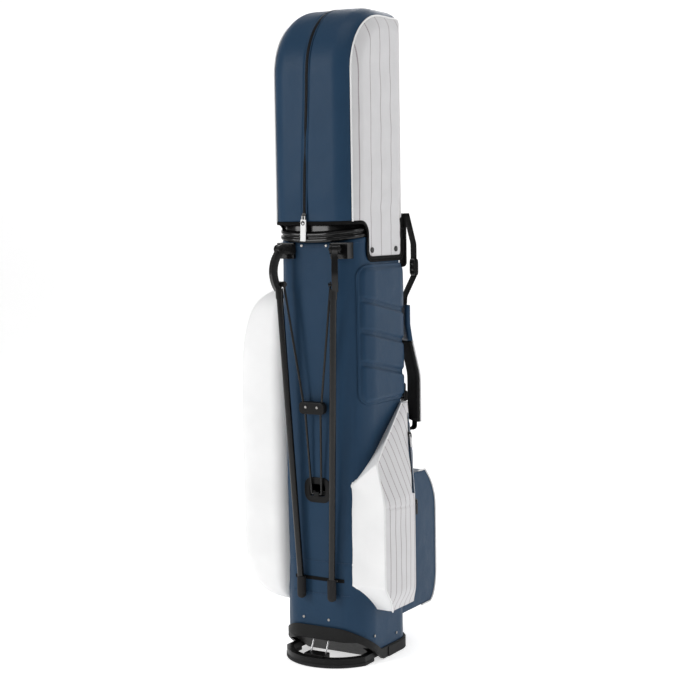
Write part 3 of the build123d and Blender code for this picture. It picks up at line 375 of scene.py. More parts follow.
def rounded(share, section, grow=0.0):
    """Point and outward direction at a share of a rounded outline.

    The share runs from the middle of the rear and goes by the left side.
    """
    half_x, half_y, radius, middle = section
    half_x, half_y, radius = half_x + grow, half_y + grow, radius + grow
    flat_x, flat_y, arc = half_x - radius, half_y - radius, math.pi * radius / 2
    runs = [flat_x, arc, 2 * flat_y, arc, 2 * flat_x, arc, 2 * flat_y, arc, flat_x]
    left = (share % 1.0 if share < 1 else 1.0) * sum(runs)
    index = 0
    while index < 8 and left > runs[index]:
        left -= runs[index]
        index += 1
    if index % 2:
        quarter = (index + 1) // 2
        angle = math.pi / 2 * (quarter + left / arc)
        centre_x = -flat_x if quarter in (1, 2) else flat_x
        centre_y = -flat_y if quarter in (2, 3) else flat_y
        out = Vector((math.cos(angle), math.sin(angle)))
        point = Vector((centre_x, centre_y)) + out * radius
    else:
        side = index // 2
        starts = (
            (0, half_y), (-half_x, flat_y), (-flat_x, -half_y), (half_x, -flat_y), (flat_x, half_y)
        )
        steps = ((-1, 0), (0, -1), (1, 0), (0, 1), (-1, 0))
        point = Vector(starts[side]) + Vector(steps[side]) * left
        out = Vector((steps[side][1], -steps[side][0]))
    return Vector((point.x, point.y + middle)), out


def outline_length(section, grow=0.0):
    half_x, half_y, radius, _ = section
    straight = 4 * (half_x + half_y - 2 * radius)
    return straight + 2 * math.pi * (radius + grow)


def tube_edge(across, section=BODY):
    """How far the tube's outline reaches in x at a given y."""
    half_x, half_y, radius, middle = section
    over = abs(across - middle) - (half_y - radius)
    if over <= 0:
        return half_x
    return half_x - radius + math.sqrt(max(0.0, radius ** 2 - over ** 2))


def tube_rear(across, section=BODY):
    """How far the tube's outline reaches in +y at a given x."""
    half_x, half_y, radius, middle = section
    over = abs(across) - (half_x - radius)
    if over <= 0:
        return half_y + middle
    return half_y - radius + middle + math.sqrt(max(0.0, radius ** 2 - over ** 2))


def rim_z(x, y):
    """Height of the rim's upper edge."""
    rise = RIM_ARC - math.sqrt(RIM_ARC ** 2 - min(abs(x), 100.0) ** 2)
    return RIM_Z + rise + (y + 120.0) * TILT


def hem_z(y):
    """Height of the hood's lower edge."""
    return RIM_Z + 14.0 + (y + 120.0) * TILT


def ripple(x, y, z, size, seed=0.0):
    """Smooth random value between about -1 and 1 for a place in mm."""
    return noise.noise(Vector((x / size + seed, y / size - seed, z / size + 2 * seed)))


def smooth(value, low, high):
    """0 below low, 1 above high, smooth between."""
    share = min(1.0, max(0.0, (value - low) / (high - low)))
    return share * share * (3 - 2 * share)


def valley(value, middle, width):
    """1 at the middle of a groove, falling to 0."""
    return math.exp(-(((value - middle) / width) ** 2))


def power(value, exponent):
    return math.copysign(abs(value) ** exponent, value)


# ---------------------------------------------------------------- making meshes
def moulded_grid(across, up, place, extent=(1.0, 1.0)):
    """A grid whose every point is placed by its two shares; returns its bmesh in metres."""
    bm = bmesh.new()
    bm.loops.layers.uv.new("UVMap")
    bmesh.ops.create_grid(bm, x_segments=across, y_segments=up, size=0.5, calc_uvs=True)
    layer = bm.loops.layers.uv.active
    for face in bm.faces:
        for loop in face.loops:
            u, v = loop.vert.co.x + 0.5, loop.vert.co.y + 0.5
            loop[layer].uv = (u * extent[0] * MM, v * extent[1] * MM)
    for vert in bm.verts:
        vert.co = Vector(place(vert.co.x + 0.5, vert.co.y + 0.5)) * MM
    return bm


def weld(bm, distance=0.02):
    bmesh.ops.remove_doubles(bm, verts=bm.verts, dist=distance * MM)
    bmesh.ops.dissolve_degenerate(bm, dist=0.001 * MM, edges=bm.edges)


def close_ends(bm):
    edges = [e for e in bm.edges if e.is_boundary]
    if edges:
        bmesh.ops.holes_fill(bm, edges=edges, sides=0)


def finished(bm, name, body, finish, replaces=(), smooth_faces=True, outward=True):
    """Turn a bmesh into a piece that rides on a body."""
    if outward:
        bmesh.ops.recalc_face_normals(bm, faces=bm.faces)
    for face in bm.faces:
        face.smooth = smooth_faces
    mesh = bpy.data.meshes.new(name)
    bm.to_mesh(mesh)
    bm.free()
    piece = bpy.data.objects.new(name, mesh)
    bpy.context.scene.collection.objects.link(piece)
    materials = finish if isinstance(finish, (list, tuple)) else [finish]
    for entry in materials:
        mesh.materials.append(finishes[entry])
    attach(piece, body)
    if replaces:
        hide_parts(*replaces)
    return piece


def thicken(piece, thickness, offset=-1.0):
    solid = piece.modifiers.new("Wall", "SOLIDIFY")
    solid.thickness = thickness * MM
    solid.offset = offset
    return piece


def strip(points, outs, width, thick, sides=12, closed=False, exponent=1.0, lift=0.0):
    """Band with an oval section along points; outs are the directions its face looks."""
    points = [Vector(p) for p in points]
    outs = [Vector(o).normalized() for o in outs]
    count = len(points)
    spans = [0.0]
    for a, b in zip(points, points[1:]):
        spans.append(spans[-1] + (b - a).length)
    total = spans[-1] + ((points[0] - points[-1]).length if closed else 0.0)
    steps = count if closed else count - 1

    def place(u, v):
        index = round(u * steps)
        here = index % count if closed else index
        before = points[(here - 1) % count if closed else max(0, here - 1)]
        after = points[(here + 1) % count if closed else min(count - 1, here + 1)]
        forward = (after - before).normalized()
        out = outs[here]
        side = forward.cross(out).normalized()
        out = side.cross(forward).normalized()
        angle = 2 * math.pi * v
        across = power(math.cos(angle), exponent) * width / 2
        high = power(math.sin(angle), exponent) * thick / 2 + lift
        return points[here] + side * across + out * high

    bm = moulded_grid(steps, sides, place, (total, width * 2))
    weld(bm)
    if not closed:
        close_ends(bm)
    return bm


def bent_path(points, radius, step=4.0):
    """Points along straight runs with rounded corners."""
    points = [Vector(p) for p in points]
    path = [points[0]]
    for before, corner, after in zip(points, points[1:], points[2:]):
        back, on = (before - corner), (after - corner)
        angle = back.angle(on)
        cut = min(radius / math.tan(angle / 2), back.length * 0.49, on.length * 0.49)
        start, end = corner + back.normalized() * cut, corner + on.normalized() * cut
        for i in range(9):
            t = i / 8
            path.append(start.lerp(corner, t).lerp(corner.lerp(end, t), t))
    path.append(points[-1])
    even = [path[0]]
    for a, b in zip(path, path[1:]):
        pieces = max(1, round((b - a).length / step))
        even.extend(a.lerp(b, (i + 1) / pieces) for i in range(pieces))
    return even


def merge(bm, other):
    """Join another bmesh into the first one."""
    mesh = bpy.data.meshes.new("part")
    other.to_mesh(mesh)
    other.free()
    bm.from_mesh(mesh)
    bpy.data.meshes.remove(mesh)
    return bm


def give(names, finish):
    """Put a finish on CAD pieces that keep their own shape."""
    for name in names:
        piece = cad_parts[name]
        piece.data.materials.clear()
        piece.data.materials.append(finishes[finish])


# ---------------------------------------------------------------- hood
def hood_profile(share, depth):
    """Point and outward direction in y and z on the hood's side view, moved inward by depth."""
    front, rear = -116.0, 104.0
    low_front, low_rear = hem_z(front) + 7, hem_z(rear) + 7
    runs = (1154 - low_front, math.pi * 65, 66.0, math.pi * 12, 1260 - low_rear)
    left = share * sum(runs)
    index = 0
    while index < 4 and left > runs[index]:
        left -= runs[index]
        index += 1
    part = left / runs[index]
    if index == 0:
        return Vector((front + depth, low_front + left)), Vector((-1, 0))
    if index == 1:
        angle = math.pi - part * math.pi / 2
        out = Vector((math.cos(angle), math.sin(angle)))
        return Vector((14, 1154)) + out * (130 - depth), out
    if index == 2:
        return Vector((14 + left, HOOD_TOP - depth)), Vector((0, 1))
    if index == 3:
        angle = math.pi / 2 * (1 - part)
        out = Vector((math.cos(angle), math.sin(angle)))
        return Vector((80, 1260)) + out * max(2.0, 24 - depth), out
    return Vector((rear - depth, 1260 - left)), Vector((1, 0))


def corner_depth(x):
    """How far the hood has fallen back from its profile at a distance x from the middle."""
    over = abs(x) - 51.5
    return 0.0 if over <= 0 else 45 - math.sqrt(max(0.0, 45 ** 2 - over ** 2))


def inside_distance(y, z):
    """Distance from the hood's side outline to a point inside it."""
    distance = min(y + 116, 104 - y, HOOD_TOP - z)
    if y < 14 and z > 1154:
        distance = min(distance, 130 - math.hypot(y - 14, z - 1154))
    if y > 80 and z > 1260:
        distance = min(distance, 24 - math.hypot(y - 80, z - 1260))
    return distance


def hood_side_x(y, z):
    """Reach of the hood's side panel in x."""
    distance = min(45.0, max(0.0, inside_distance(y, z)))
    return 51.5 + math.sqrt(45 ** 2 - (45 - distance) ** 2)


def tongue_reach(y, z, grow=0.0):
    """Below zero inside the tongue's rounded outline."""
    half_y, half_z, radius = 65.0 + grow, 52.5 + grow, 14.0 + grow
    over_y = abs(y - 7) - half_y + radius
    over_z = abs(z - 852.5) - half_z + radius
    outside = math.hypot(max(over_y, 0), max(over_z, 0))
    return outside + min(0.0, max(over_y, over_z)) - radius


def zip_x(z):
    """Middle of the hood's zip in x at a height."""
    return -12 + 11 * smooth(z, 860, 1200) if z < 1154 else -1.0


def build_hood_band():
    fold = sizes().wrinkle / MM

    def place(u, v):
        x = (u * 2 - 1) * BAND_HALF
        point, out = hood_profile(v, corner_depth(x))
        y, z = point
        puff = 2.2 * (1 - (abs(x) / BAND_HALF) ** 4) * smooth(z, 880, 930)
        puff += fold * 0.9 * ripple(x * 1.6, y, z * 0.5, 70, 3.0)
        puff += fold * 0.35 * ripple(x, y, z, 26, 5.0) * smooth(z, 1150, 860)
        puff -= 1.3 * valley(x, zip_x(z) + 5.5, 1.6) + 1.3 * valley(x, zip_x(z) - 5.5, 1.6)
        puff -= 1.0 * valley(abs(x), BAND_HALF, 4)
        return x, y + out.x * puff, z + out.y * puff

    bm = moulded_grid(110, 230, place, (170, 980))
    piece = finished(bm, "hood_centre_cloth", "hood", "navy", ["hood_band"], outward=False)
    thicken(piece, 2.0)
    return piece


def build_hood_side(side):
    fold = sizes().wrinkle / MM
    inset = 16.8

    def place(u, v):
        split = 0.74
        if v < split:
            z = 796 + (1154 - 796) * v / split
            front = -116 + inset
        else:
            angle = (v - split) / (1 - split) * math.pi / 2
            z = 1154 + (130 - inset) * math.sin(angle)
            front = 14 - (130 - inset) * math.cos(angle)
        rear = 104 - inset
        if z > 1260:
            rear = 80 + math.sqrt(max(0.0, (24 - inset) ** 2 - (z - 1260) ** 2))
        y = front + (rear - front) * u
        x = hood_side_x(y, max(z, 872))
        rim = smooth(inside_distance(y, max(z, 872)), 16.8, 40)
        puff = 2.4 * rim * smooth(z, 850, 980)
        puff += fold * 1.1 * rim * ripple(x, y * 0.7, z * 1.3, 62, 9.0) * smooth(z, 805, 880)
        low = smooth(z, 1040, 880) * smooth(z, 800, 850)
        puff += fold * 0.8 * rim * low * ripple(0, y * 0.5, z * 1.8, 34, 1.0)
        return side * (x + puff), y, z

    bm = moulded_grid(84, 200, place, (187, 620))
    outside = []
    for face in bm.faces:
        spot = face.calc_center_median() / MM
        low = hem_z(HEM_TURN) + HEM_RISE - HEM_ROUND
        turned = spot.y > HEM_TURN and spot.z > low and spot.y < 0
        if turned and math.hypot(spot.y - HEM_TURN, spot.z - low) > HEM_ROUND:
            continue
        if spot.z < hem_z(spot.y) + 6 and tongue_reach(spot.y, spot.z, 0.5) > 0:
            outside.append(face)
    bmesh.ops.delete(bm, geom=outside, context="FACES")
    if side < 0:
        bmesh.ops.reverse_faces(bm, faces=bm.faces)
    name = "right" if side > 0 else "left"
    node = "hood_side_" + name
    piece = finished(bm, f"hood_{name}_cloth", "hood", "stripes", [node], outward=False)
    thicken(piece, 2.0)
    return piece


def build_hood_edges():
    """Piping along the centre band, the hem and the binding round the tongues."""
    bm = bmesh.new()
    for side in (-1, 1):
        points, outs = [], []
        for i in range(161):
            point, out = hood_profile(i / 160, 15.6)
            points.append((side * 86.3, point.x, point.y))
            outs.append((side * 0.7, out.x, out.y))
        merge(bm, strip(points, outs, sizes().piping / MM, sizes().piping / MM, 10))
    finished(bm, "hood_piping_cord", "hood", "piping", ["hood_pipings"])

    width = sizes().binding / MM + 1.0
    bm = bmesh.new()
    for side in (-1, 1):
        points, outs = [], []
        for i in range(120):
            spot, out = rounded(0.5 + side * i / 119 * 0.2, HOOD, -0.6)
            if spot.y < HEM_TURN:
                points.append((spot.x, spot.y, hem_z(spot.y) + HEM_RISE))
                outs.append((out.x, out.y, 0))
        rear = hem_z(75) + 6
        low = hem_z(HEM_TURN) + HEM_RISE
        turned = []
        for i in range(17):
            angle = math.pi / 2 * i / 16
            y = HEM_TURN + HEM_ROUND * math.sin(angle)
            turned.append(Vector((0, y, low - HEM_ROUND * (1 - math.cos(angle)))))
        tongue = HEM_TURN + HEM_ROUND
        route = [(tongue, low - HEM_ROUND), (tongue, 798.5), (73.5, 798.5), (73.5, rear)]
        turned += bent_path([(0, y, z) for y, z in route], 15, 3.0)[1:]
        for spot in turned:
            reach = tube_edge(spot.y, HOOD) - 0.7 + 1.0 * smooth(spot.z, 815, 798)
            points.append((side * reach, spot.y, spot.z))
            outs.append((side, 0, 0))
        merge(bm, strip(points, outs, width, 3.4, 12, exponent=0.7))
    points, outs = [], []
    for i in range(160):
        spot, out = rounded((i / 159 - 0.5) * 0.42, HOOD, -0.6)
        if spot.y > 73:
            points.append((spot.x, spot.y, hem_z(spot.y) + HEM_RISE))
            outs.append((out.x, out.y, 0))
    merge(bm, strip(points, outs, width, 3.4, 12, exponent=0.7))
    finished(bm, "hood_hem_binding", "hood", "binding", ["hood_hem"])


def build_hood_zip():
    """Tape, coil and teeth; the imported slider rides on them."""
    points, outs = [], []
    for i in range(150):
        share = 0.004 + i / 149 * 0.60
        point, out = hood_profile(share, -0.4)
        if point.x < 54:
            points.append((zip_x(point.y), point.x + out.x * 1.0, point.y + out.y * 1.0))
            outs.append((0, out.x, out.y))
    bm = strip(points, outs, 11.5, 1.0, 10)
    finished(bm, "hood_zip_tape", "hood", "navy", ["hood_zip_chain"])
    coil = strip(points, outs, 6.6, 1.2, 10, lift=0.5)
    finished(coil, "hood_zip_coil", "hood", "zip")
    path = [Vector(p) for p in points]
    teeth = bmesh.new()
    for index in range(len(path) - 1):
        a, b = path[index], path[index + 1]
        forward = (b - a).normalized()
        out = Vector(outs[index])
        across = forward.cross(out)
        for half in (0.15, 0.65):
            for sign in (-1, 1):
                shift = 0.25 if sign > 0 else 0.0
                spot = a.lerp(b, half + shift) + out * 0.7 + across * sign * 0.9
                turn = Matrix((across, forward, out)).transposed().to_4x4()
                block = Matrix.Diagonal((2.2 * MM, 1.1 * MM, 1.5 * MM, 1))
                move = Matrix.Translation(spot * MM)
                bmesh.ops.create_cube(teeth, size=1.0, matrix=move @ turn @ block)
    finished(teeth, "hood_zip_teeth", "hood", "plastic", smooth_faces=False)


def build_tag():
    """White pull tag with a dark eyelet, hanging from the hood's slider."""
    low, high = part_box("hood_tag")
    middle = (low + high) / 2 / MM
    bottom = low.z / MM
    lean = Vector((11, 0, 281)).normalized()
    across = Vector((lean.z, 0, -lean.x))
    out = Vector((0, -1, 0))
    turn = Matrix((across, lean, out)).transposed().to_4x4()
    centre = Vector((middle.x - 0.6, middle.y, bottom + 21.5))
    bm = bmesh.new()
    bmesh.ops.create_circle(bm, cap_ends=True, segments=48, radius=1.0)
    for vert in bm.verts:
        angle = math.atan2(vert.co.y, vert.co.x)
        across_plate = power(math.cos(angle), 0.35) * 6
        vert.co = Vector((across_plate, power(math.sin(angle), 0.45) * 20.5, 0))
    bmesh.ops.inset_individual(bm, faces=bm.faces, thickness=1.2, depth=0.5)
    grown = bmesh.ops.extrude_face_region(bm, geom=list(bm.faces))
    verts = [g for g in grown["geom"] if isinstance(g, bmesh.types.BMVert)]
    bmesh.ops.translate(bm, verts=verts, vec=(0, 0, -1.5))
    bmesh.ops.scale(bm, verts=bm.verts, vec=(MM, MM, MM))
    bmesh.ops.transform(bm, verts=bm.verts, matrix=Matrix.Translation(centre * MM) @ turn)
    finished(bm, "hood_tag_plate", "hood_tag", "tag", smooth_faces=False)
    eye = bmesh.new()
    ring_at = centre + lean * 13.5 + out * 0.9
    points = []
    for i in range(24):
        angle = 2 * math.pi * i / 24
        points.append(ring_at + (across * math.cos(angle) + lean * math.sin(angle)) * 3.4)
    merge(eye, strip(points, [out] * 24, 1.8, 1.3, 8, closed=True))
    bmesh.ops.create_circle(eye, cap_ends=True, segments=24, radius=2.9 * MM,
                            matrix=Matrix.Translation((ring_at - out * 0.3) * MM) @ turn)
    finished(eye, "hood_tag_eyelet", "hood_tag", "gloss")


# ---------------------------------------------------------------- cuff and tube
def build_cuff():
    """Moulded rim with two rounded ridges and a neck that stands up inside the hood."""
    profile = (
        (-12.0, 40.0), (-9.3, 41.5), (-9.0, 36.0), (-9.0, 3.0), (-7.5, 0.8),
        (-4.5, 0.0), (-1.5, -0.4), (0.0, -1.8), (0.4, -4.0), (0.0, -6.6),
        (-1.4, -7.8), (-2.5, -8.4), (-2.5, -10.6), (-1.4, -11.2), (0.4, -12.2),
        (1.0, -15.0), (0.4, -18.0), (-1.2, -19.0), (-4.5, -19.3),
    )

    def place(u, v):
        grow, high = profile[round(v * (len(profile) - 1))]
        spot, out = rounded(u, CUFF, grow)
        top = rim_z(spot.x, spot.y)
        if high > 20:
            high = 896 - top + (high - 41.5)
        return spot.x, spot.y, top + high

    bm = moulded_grid(180, len(profile) - 1, place, (710, 60))
    bmesh.ops.reverse_faces(bm, faces=bm.faces)
    weld(bm)
    piece = finished(bm, "cuff_rim", "bag", "gloss", ["top_cuff"], outward=False)

    skirt_gap = 6.9

    def inner(u, v):
        spot, _ = rounded(u, BODY, -skirt_gap)
        mouth, _ = rounded(u, CUFF, -12.0)
        share = smooth(771 + 124 * v, 834, 850)
        place_x = spot.x * (1 - share) + mouth.x * share
        place_y = spot.y * (1 - share) + mouth.y * share
        return place_x, place_y, 771 + (895 - 771) * v

    bm = moulded_grid(140, 30, inner, (690, 130))
    bmesh.ops.reverse_faces(bm, faces=bm.faces)
    weld(bm)
    skirt = finished(bm, "cuff_inside", "bag", "gloss", outward=False)
    thicken(skirt, 1.6, 1.0)
    return piece


def boot_edge(y):
    """Height of the boot's upper edge."""
    if y < -97:
        return 64 + 9 * (-97 - y) / 10.7
    return 64 - 42 * min(1.0, (y + 97) / 61)


def build_tube():
    """Synthetic leather panels stretched over the stays, with sewn seams."""
    fold = sizes().wrinkle / MM
    around = outline_length(BODY)

    def seams(x, y, z):
        depth = 0.0
        if y < -60 and abs(x) < 70:
            depth += valley(z, 200, 1.3) + valley(z, 135, 1.3) * 0.8
        corner = math.atan2(y + 49, x - 42) if x > 42 and y < -49 else None
        if corner is not None:
            depth += 1.6 * valley(corner * 55, -0.90 * 55, 1.5)
        mirror = math.atan2(y + 49, -x - 42) if x < -42 and y < -49 else None
        if mirror is not None:
            depth += 1.6 * valley(mirror * 55, -0.90 * 55, 1.5)
        return depth

    def place(u, v):
        spot, out = rounded(u, BODY)
        x, y = spot
        low = max(16.0, boot_edge(y) - 8)
        top = rim_z(x, y) - RIM_DEPTH - 0.3
        z = low + (top - low) * v
        puff = 0.7 * ripple(x, y, z * 0.35, 60, 2.0) + 0.25 * fold * ripple(x, y, z, 30, 7.0)
        puff += 0.9 * smooth(z, 120, 250) * smooth(z, 830, 700)
        puff -= 0.9 * seams(x, y, z)
        puff -= 0.8 * valley(z, top - 5.5, 1.1) + 0.9 * valley(z, top + 0.5, 3.0)
        if abs(x) < 34 and y < -90:
            puff *= 1 - 0.9 * math.exp(-(((z - 345) / 34) ** 2))
        if abs(x) > 80 and abs(y) < 80:
            sunk = smooth(tongue_reach(y, z, 8.0), 1.5, -1.5)
            puff = puff * (1 - sunk) - 3.7 * sunk
        return x + out.x * puff, y + out.y * puff, z

    bm = moulded_grid(210, 215, place, (around, 800))
    weld(bm)
    hole = []
    for face in bm.faces:
        spot = face.calc_center_median() / MM
        if abs(spot.x) < 18.5 and spot.y < -95 and abs(spot.z - 345) < 13:
            hole.append(face)
    bmesh.ops.delete(bm, geom=hole, context="FACES")
    piece = finished(bm, "tube_leather", "bag", "navy", ["body_shell"], outward=False)
    thicken(piece, 2.6)

    bm = bmesh.new()
    for side in (-1, 1):
        corners = ((0, -64.8, 829), (0, -64.8, 793), (0, 78.6, 793), (0, 78.6, 832))
        points = bent_path(corners, 20, 3.0)
        points = [(side * 97.4, p.y, p.z) for p in points]
        merge(bm, strip(points, [(side, 0, 0)] * len(points), 4.4, 1.6, 10, exponent=0.7))
    finished(bm, "side_opening_binding", "bag", "binding", ["side_bindings"])


def build_stitches():
    """Raised stitches along the tube's two front seams and the top hem."""
    bm = bmesh.new()

    def row(points, outs):
        for (a, b), out in zip(zip(points[::2], points[1::2]), outs[::2]):
            a, b, out = Vector(a), Vector(b), Vector(out).normalized()
            forward = (b - a).normalized()
            across = forward.cross(out)
            turn = Matrix((forward, across, out)).transposed().to_4x4()
            block = Matrix.Diagonal(((b - a).length * 1.1 * MM, 0.7 * MM, 0.7 * MM, 1))
            middle = (a + b) / 2 + out * 0.2
            matrix = Matrix.Translation(middle * MM) @ turn @ block
            bmesh.ops.create_cube(bm, size=1.0, matrix=matrix)

    for z in (203.5, 138.5):
        points, outs = [], []
        for i in range(72):
            spot, out = rounded(0.5 + (i / 71 - 0.5) * 0.19, BODY, 0.9)
            points.append((spot.x, spot.y, z))
            outs.append((out.x, out.y, 0))
        row(points, outs)
    points, outs = [], []
    for i in range(240):
        spot, out = rounded(i / 240, BODY, 0.6)
        if abs(spot.x) < 84 or spot.y > 84 or spot.y < -70:
            points.append((spot.x, spot.y, rim_z(spot.x, spot.y) - RIM_DEPTH - 8.5))
            outs.append((out.x, out.y, 0))
    row(points, outs)
    finished(bm, "tube_stitches", "bag", "stitch", smooth_faces=False)


# ---------------------------------------------------------------- pockets
def build_left_pocket():
    """Large white pocket: one soft moulded form."""
    middle, half = 419.0, 322.0
    centre_y, half_y = -14.0, 76.5

    def reach(z):
        return 201.5 - 13 * smooth(z, 520, 742) - 6 * smooth(z, 300, 92)

    def place(u, v):
        angle_v = math.pi * (v - 0.5)
        q = power(math.sin(angle_v), 0.55)
        z = middle + half * q
        end = max(0.0, 1 - abs(q) ** 8.0) ** 0.5
        wide = half_y * max(0.0, 1 - abs(q) ** 12.0) ** 0.5
        if u < 0.72:
            angle = math.pi * u / 0.72
            y = centre_y - wide * power(math.cos(angle), 0.30)
            high = power(math.sin(angle), 0.30)
        else:
            y = centre_y + wide - 2 * wide * (u - 0.72) / 0.28
            high = 0.0
        base = tube_edge(y) - 1.8
        out = base + (reach(z) - base) * end * high
        soft = 3.2 * ripple(out, y, z * 0.7, 95, 4.0) + 1.2 * ripple(out, y, z, 42, 8.0)
        crease = 3.6 * valley(z + 0.35 * (y + 90), 178, 9) * smooth(y, 40, -90)
        crease += 2.6 * valley(z - 0.5 * (y + 90), 250, 12) * smooth(y, 30, -90)
        out += (soft - crease) * high * end * 0.9
        return -out, y + (0.8 * ripple(y, z, out, 60, 6.0)) * high, z

    bm = moulded_grid(150, 170, place, (430, 700))
    weld(bm, 0.05)
    finished(bm, "left_pocket_leather", "bag", "white", ["left_pocket"])


def right_outline(z):
    """Front edge, outer edge and rear corner of the striped pocket at a height."""
    outer = 145 - 40 * (z - 330) / 175 if z > 330 else 145 - 14 * smooth(z, 152, 102) ** 1.5
    front = POCKET_FRONT
    if z > POCKET_SHOULDER:
        front += 145 * (z - POCKET_SHOULDER) / 101
    if z < POCKET_LOW:
        front += 51 * (POCKET_LOW - z) / 55
    knee = 22 + (150 - outer) * 62 / 53
    return front, outer, min(knee, 78.0)


def build_right_pocket():
    """Side pocket: white front gusset, striped face and a slanted top."""
    gusset = 0.24

    def slope_y(x, z, front):
        slanted = POCKET_FRONT + (7685 * (z - 360) - 6380 * (x - 75)) / 6365
        return max(front if z < POCKET_LOW else POCKET_FRONT, slanted)

    def place(u, v):
        z = 104 + 401 * v
        front, outer, knee = right_outline(z)
        knee = max(knee, front + 3)
        rear = 84.0 - 22 * smooth(z, 150, 104)
        inner_x = 80.0
        for _ in range(4):
            inner_x = tube_edge(min(90.0, slope_y(inner_x, z, front))) - 2
        inner_x = min(inner_x, outer - 4)
        if u < gusset:
            share = u / gusset
            x = inner_x + (outer - inner_x) * share
            swell = math.sin(math.pi * share)
            sag = 4.0 * swell * smooth(z, 110, 170) * smooth(z, 400, 340)
            return x, slope_y(x, z, front) + sag + 1.6 * ripple(x, 0, z, 46, 1.0) * swell, z
        if u < 0.54:
            share = (u - gusset) / (0.54 - gusset)
            y = front + (knee - front) * share
            swell = math.sin(math.pi * share)
            bulge = 3.4 * swell * smooth(z, 104, 150)
            bulge += 1.8 * ripple(outer, y, z, 60, 2.5) * swell
            seam = POCKET_SEAM - 0.10 * (y - POCKET_FRONT)
            bulge -= 1.5 * valley(z, seam, 2.0) * min(1.0, swell * 3)
            return outer + bulge, y, z
        if u < 0.78:
            share = (u - 0.54) / 0.24
            y = knee + (rear - knee) * share
            end_x = tube_edge(min(rear, 97.0)) - 2
            swell = math.sin(math.pi * share)
            return outer + (end_x - outer) * share ** 1.1 + 2.0 * swell, y + 1.2 * swell, z
        share = (u - 0.78) / 0.22
        start = slope_y(inner_x, z, front)
        y = rear + (start - rear) * share
        return tube_edge(min(90.0, y)) - 2, y, z

    bm = moulded_grid(150, 160, place, (420, 401))
    layer = bm.loops.layers.uv.active
    for face in bm.faces:
        along = sum(loop[layer].uv.x for loop in face.loops) / len(face.loops) / 420 / MM
        face.material_index = 1 if along < gusset else 0
    weld(bm, 0.05)
    edges = [e for e in bm.edges if e.is_boundary]
    closed = bmesh.ops.holes_fill(bm, edges=edges, sides=0)
    for face in closed["faces"]:
        face.material_index = 1
    bmesh.ops.triangulate(bm, faces=closed["faces"])
    finishes_here = ["pocket_stripes", "white"]
    finished(bm, "right_pocket_cloth", "bag", finishes_here, ["right_pocket"])

    edge = []
    for i in range(60):
        z = 103.0 + 402.5 * i / 59
        front, outer, _ = right_outline(z)
        edge.append((outer + 0.8, front - 0.4, z))
    edge = bent_path(edge[::4] + [edge[-1]], 12, 4.0)
    outs = [(0.75, -0.66, 0.0)] * len(edge)
    bm = strip(edge, outs, sizes().piping / MM, sizes().piping / MM, 10)
    finished(bm, "right_pocket_cord", "bag", "piping", ["right_pocket_piping"])


def ball_reach(z):
    """How far the ball pocket stands out in y at a height."""
    if z < 133:
        return 185 + 30 * math.sqrt(max(0.0, 1 - ((133 - z) / 66) ** 2))
    if z > 262:
        share = (z - 262) / 88
        return 215 - 44 * share ** 2.2
    return 215.0


def build_ball_pocket():
    """Navy ball pocket with piped edges."""
    def place(u, v):
        z = 67.5 + 282.0 * v
        reach = ball_reach(z)
        base = 66.0
        if u < 0.30:
            share = u / 0.30
            puff = 2.6 * math.sin(math.pi * share) * math.sin(math.pi * v) ** 0.5
            puff += 0.9 * ripple(0, share * 100, z, 30, 3.0) * math.sin(math.pi * share)
            return 91.5 + puff, base + (reach - base) * share, z
        if u < 0.70:
            share = (u - 0.30) / 0.40
            x = 91.5 - 183 * share
            swell = math.sin(math.pi * share)
            puff = 3.5 * swell ** 0.6 + 1.5 * ripple(x, 0, z, 55, 6.0) * swell
            puff -= 1.6 * valley(z, 212, 2.0)
            return x, reach + puff, z
        if u < 1.0:
            share = (u - 0.70) / 0.30
            puff = 2.6 * math.sin(math.pi * share)
            return -91.5 - puff, reach + (base - reach) * share, z
        return -91.5, base, z

    bm = moulded_grid(120, 90, place, (560, 283))
    back = []
    for edge in bm.edges:
        if edge.is_boundary:
            back.append(edge)
    bmesh.ops.holes_fill(bm, edges=back, sides=0)
    bmesh.ops.triangulate(bm, faces=[f for f in bm.faces if len(f.verts) > 4])
    finished(bm, "ball_pocket_leather", "bag", "navy", ["ball_pocket"])

    bm = bmesh.new()
    for side in (-1, 1):
        points = []
        for i in range(48):
            z = 66 + 285 * i / 47
            points.append((side * 92.4, ball_reach(min(max(z, 67.5), 349.5)) + 0.6, z))
        points = [(side * 92.4, 150, 66)] + points + [(side * 92.4, 140, 352)]
        points = bent_path(points, 5, 4.0)
        merge(bm, strip(points, [(side, 0, 0)] * len(points), 3.8, 3.8, 10))
    finished(bm, "ball_pocket_cord", "bag", "piping", ["ball_pocket_piping"])

    def small(u, v):
        z = 350.5 + 149 * v
        reach = 181 - 15 * smooth(z, 365, 460) - 54 * smooth(z, 440, 504) ** 1.3
        angle = math.pi * u
        x = (72 - 10 * smooth(z, 440, 500)) * power(math.cos(angle), 0.34)
        high = power(math.sin(angle), 0.34)
        base = tube_rear(x) - 2
        soft = 1.6 * ripple(x, 0, z, 40, 3.0)
        return x, base + (reach + soft - base) * high, z

    bm = moulded_grid(96, 60, small, (300, 150))
    close_ends(bm)
    bmesh.ops.triangulate(bm, faces=[f for f in bm.faces if len(f.verts) > 4])
    finished(bm, "small_pocket_leather", "bag", "navy", ["small_pocket"])


def zip_row(name, node_chain, start, end, out, body="bag"):
    """Straight zip tape with its coil."""
    start, end, out = Vector(start), Vector(end), Vector(out).normalized()
    count = max(2, int((end - start).length / 3))
    points = [start.lerp(end, i / count) + out * 0.5 for i in range(count + 1)]
    bm = strip(points, [out] * len(points), 13, 1.0, 8)
    finished(bm, name + "_tape", body, "navy", node_chain)
    coil = strip([p + out * 0.6 for p in points], [out] * len(points), 4.0, 1.3, 8)
    finished(coil, name + "_coil", body, "zip")


